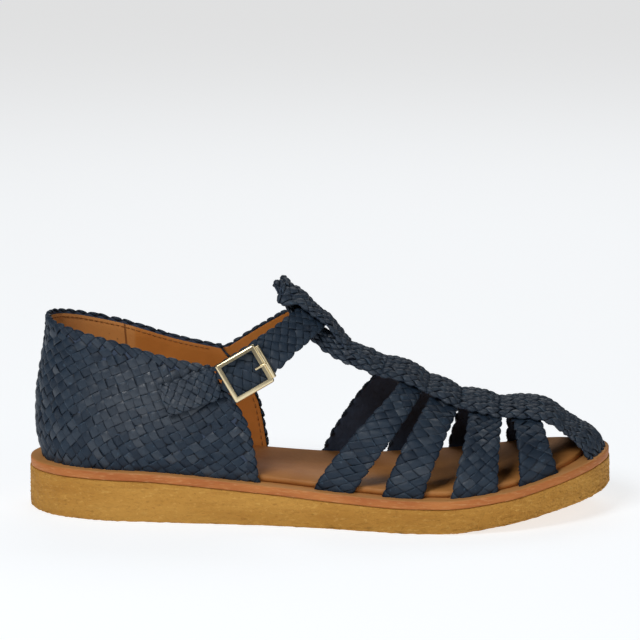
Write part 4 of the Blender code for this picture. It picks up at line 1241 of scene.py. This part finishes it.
onStrap = buckleMatrix()
for made in (frameByHand(), rollerByHand(), prongByHand()):
    made.data.transform(onStrap)
    wear(made, goldFinish, "pale_gold")
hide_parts("buckle_frame")
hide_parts("buckle_prong")
print("buckle made")

# Camera, light and floor
camera = {"azimuth": -3.9, "elevation": 13.2, "roll": 0.25, "distance": 1.4, "lens": 171.06,
          "centre": (318.0, 410.6), "picture": 640, "sensor": 36, "aim": (0.0, 0.0, 0.045)}


def addCamera():
    azimuth, elevation, roll = [math.radians(camera[k]) for k in ("azimuth", "elevation", "roll")]
    level = math.cos(elevation)
    look = Vector((math.sin(azimuth) * level, math.cos(azimuth) * level, -math.sin(elevation)))
    right = Vector((math.cos(azimuth), -math.sin(azimuth), 0.0))
    up = right.cross(look)
    turned = right * math.cos(roll) - up * math.sin(roll)
    risen = right * math.sin(roll) + up * math.cos(roll)
    data = bpy.data.cameras.new("camera")
    made = bpy.data.objects.new("camera", data)
    bpy.context.scene.collection.objects.link(made)
    matrix = Matrix([list(turned), list(risen), list(-look)]).transposed().to_4x4()
    matrix.translation = Vector(camera["aim"]) - look * camera["distance"]
    # Pitch up about the same place, so that hardly any shift is left.
    picture = camera["picture"]
    focal = camera["lens"] / camera["sensor"] * picture
    pitch = math.atan((camera["centre"][1] - picture / 2) / focal)
    made.matrix_world = matrix @ Matrix.Rotation(pitch, 4, "X")
    data.lens = camera["lens"]
    data.sensor_width = camera["sensor"]
    data.shift_x = (picture / 2 - camera["centre"][0]) / picture
    data.clip_end = 100
    bpy.context.scene.camera = made


addCamera()


def addArea(name, place, aim, size, power):
    data = bpy.data.lights.new(name, "AREA")
    data.shape = "RECTANGLE"
    data.size, data.size_y = size
    data.energy = power
    made = bpy.data.objects.new(name, data)
    made.location = place
    made.rotation_euler = (Vector(aim) - Vector(place)).to_track_quat("-Z", "Y").to_euler()
    bpy.context.scene.collection.objects.link(made)


addArea("keyLight", (-0.50, -0.95, 1.05), (-0.02, 0, 0.04), (0.6, 0.5), 11.0)
addArea("fillLight", (0.9, -0.8, 0.7), (0, 0, 0.04), (0.8, 0.8), 2.5)
addArea("backLight", (0.1, 1.0, 1.1), (0, 0, 0.05), (1.2, 0.6), 5.0)


# Soft studio surround, brighter overhead than at the sides.
def addWorld():
    world = bpy.data.worlds.new("studio")
    world.use_nodes = True
    tree = world.node_tree
    place = tree.nodes.new("ShaderNodeTexCoord")
    split = tree.nodes.new("ShaderNodeSeparateXYZ")
    tree.links.new(place.outputs["Generated"], split.inputs[0])
    strength = Number(tree, split.outputs["Z"]).between(-0.1, 0.9) * 0.45 + 0.36
    tree.links.new(strength.socket, tree.nodes["Background"].inputs["Strength"])
    bpy.context.scene.world = world


addWorld()
bpy.ops.mesh.primitive_plane_add(size=40)
floor = bpy.context.active_object
floor.name = "floor"
floorLook = Finish("floorLook")
floorLook.put(Base_Color=(0.40, 0.44, 0.48, 1), Roughness=0.9, Emission_Color=(1, 1, 1, 1),
              Emission_Strength=0.72, Specular_IOR_Level=0.0)
floor.data.materials.append(floorLook.material)
bpy.context.scene.view_settings.view_transform = "Standard"
bpy.context.scene.view_settings.look = "None"
print("stage made")
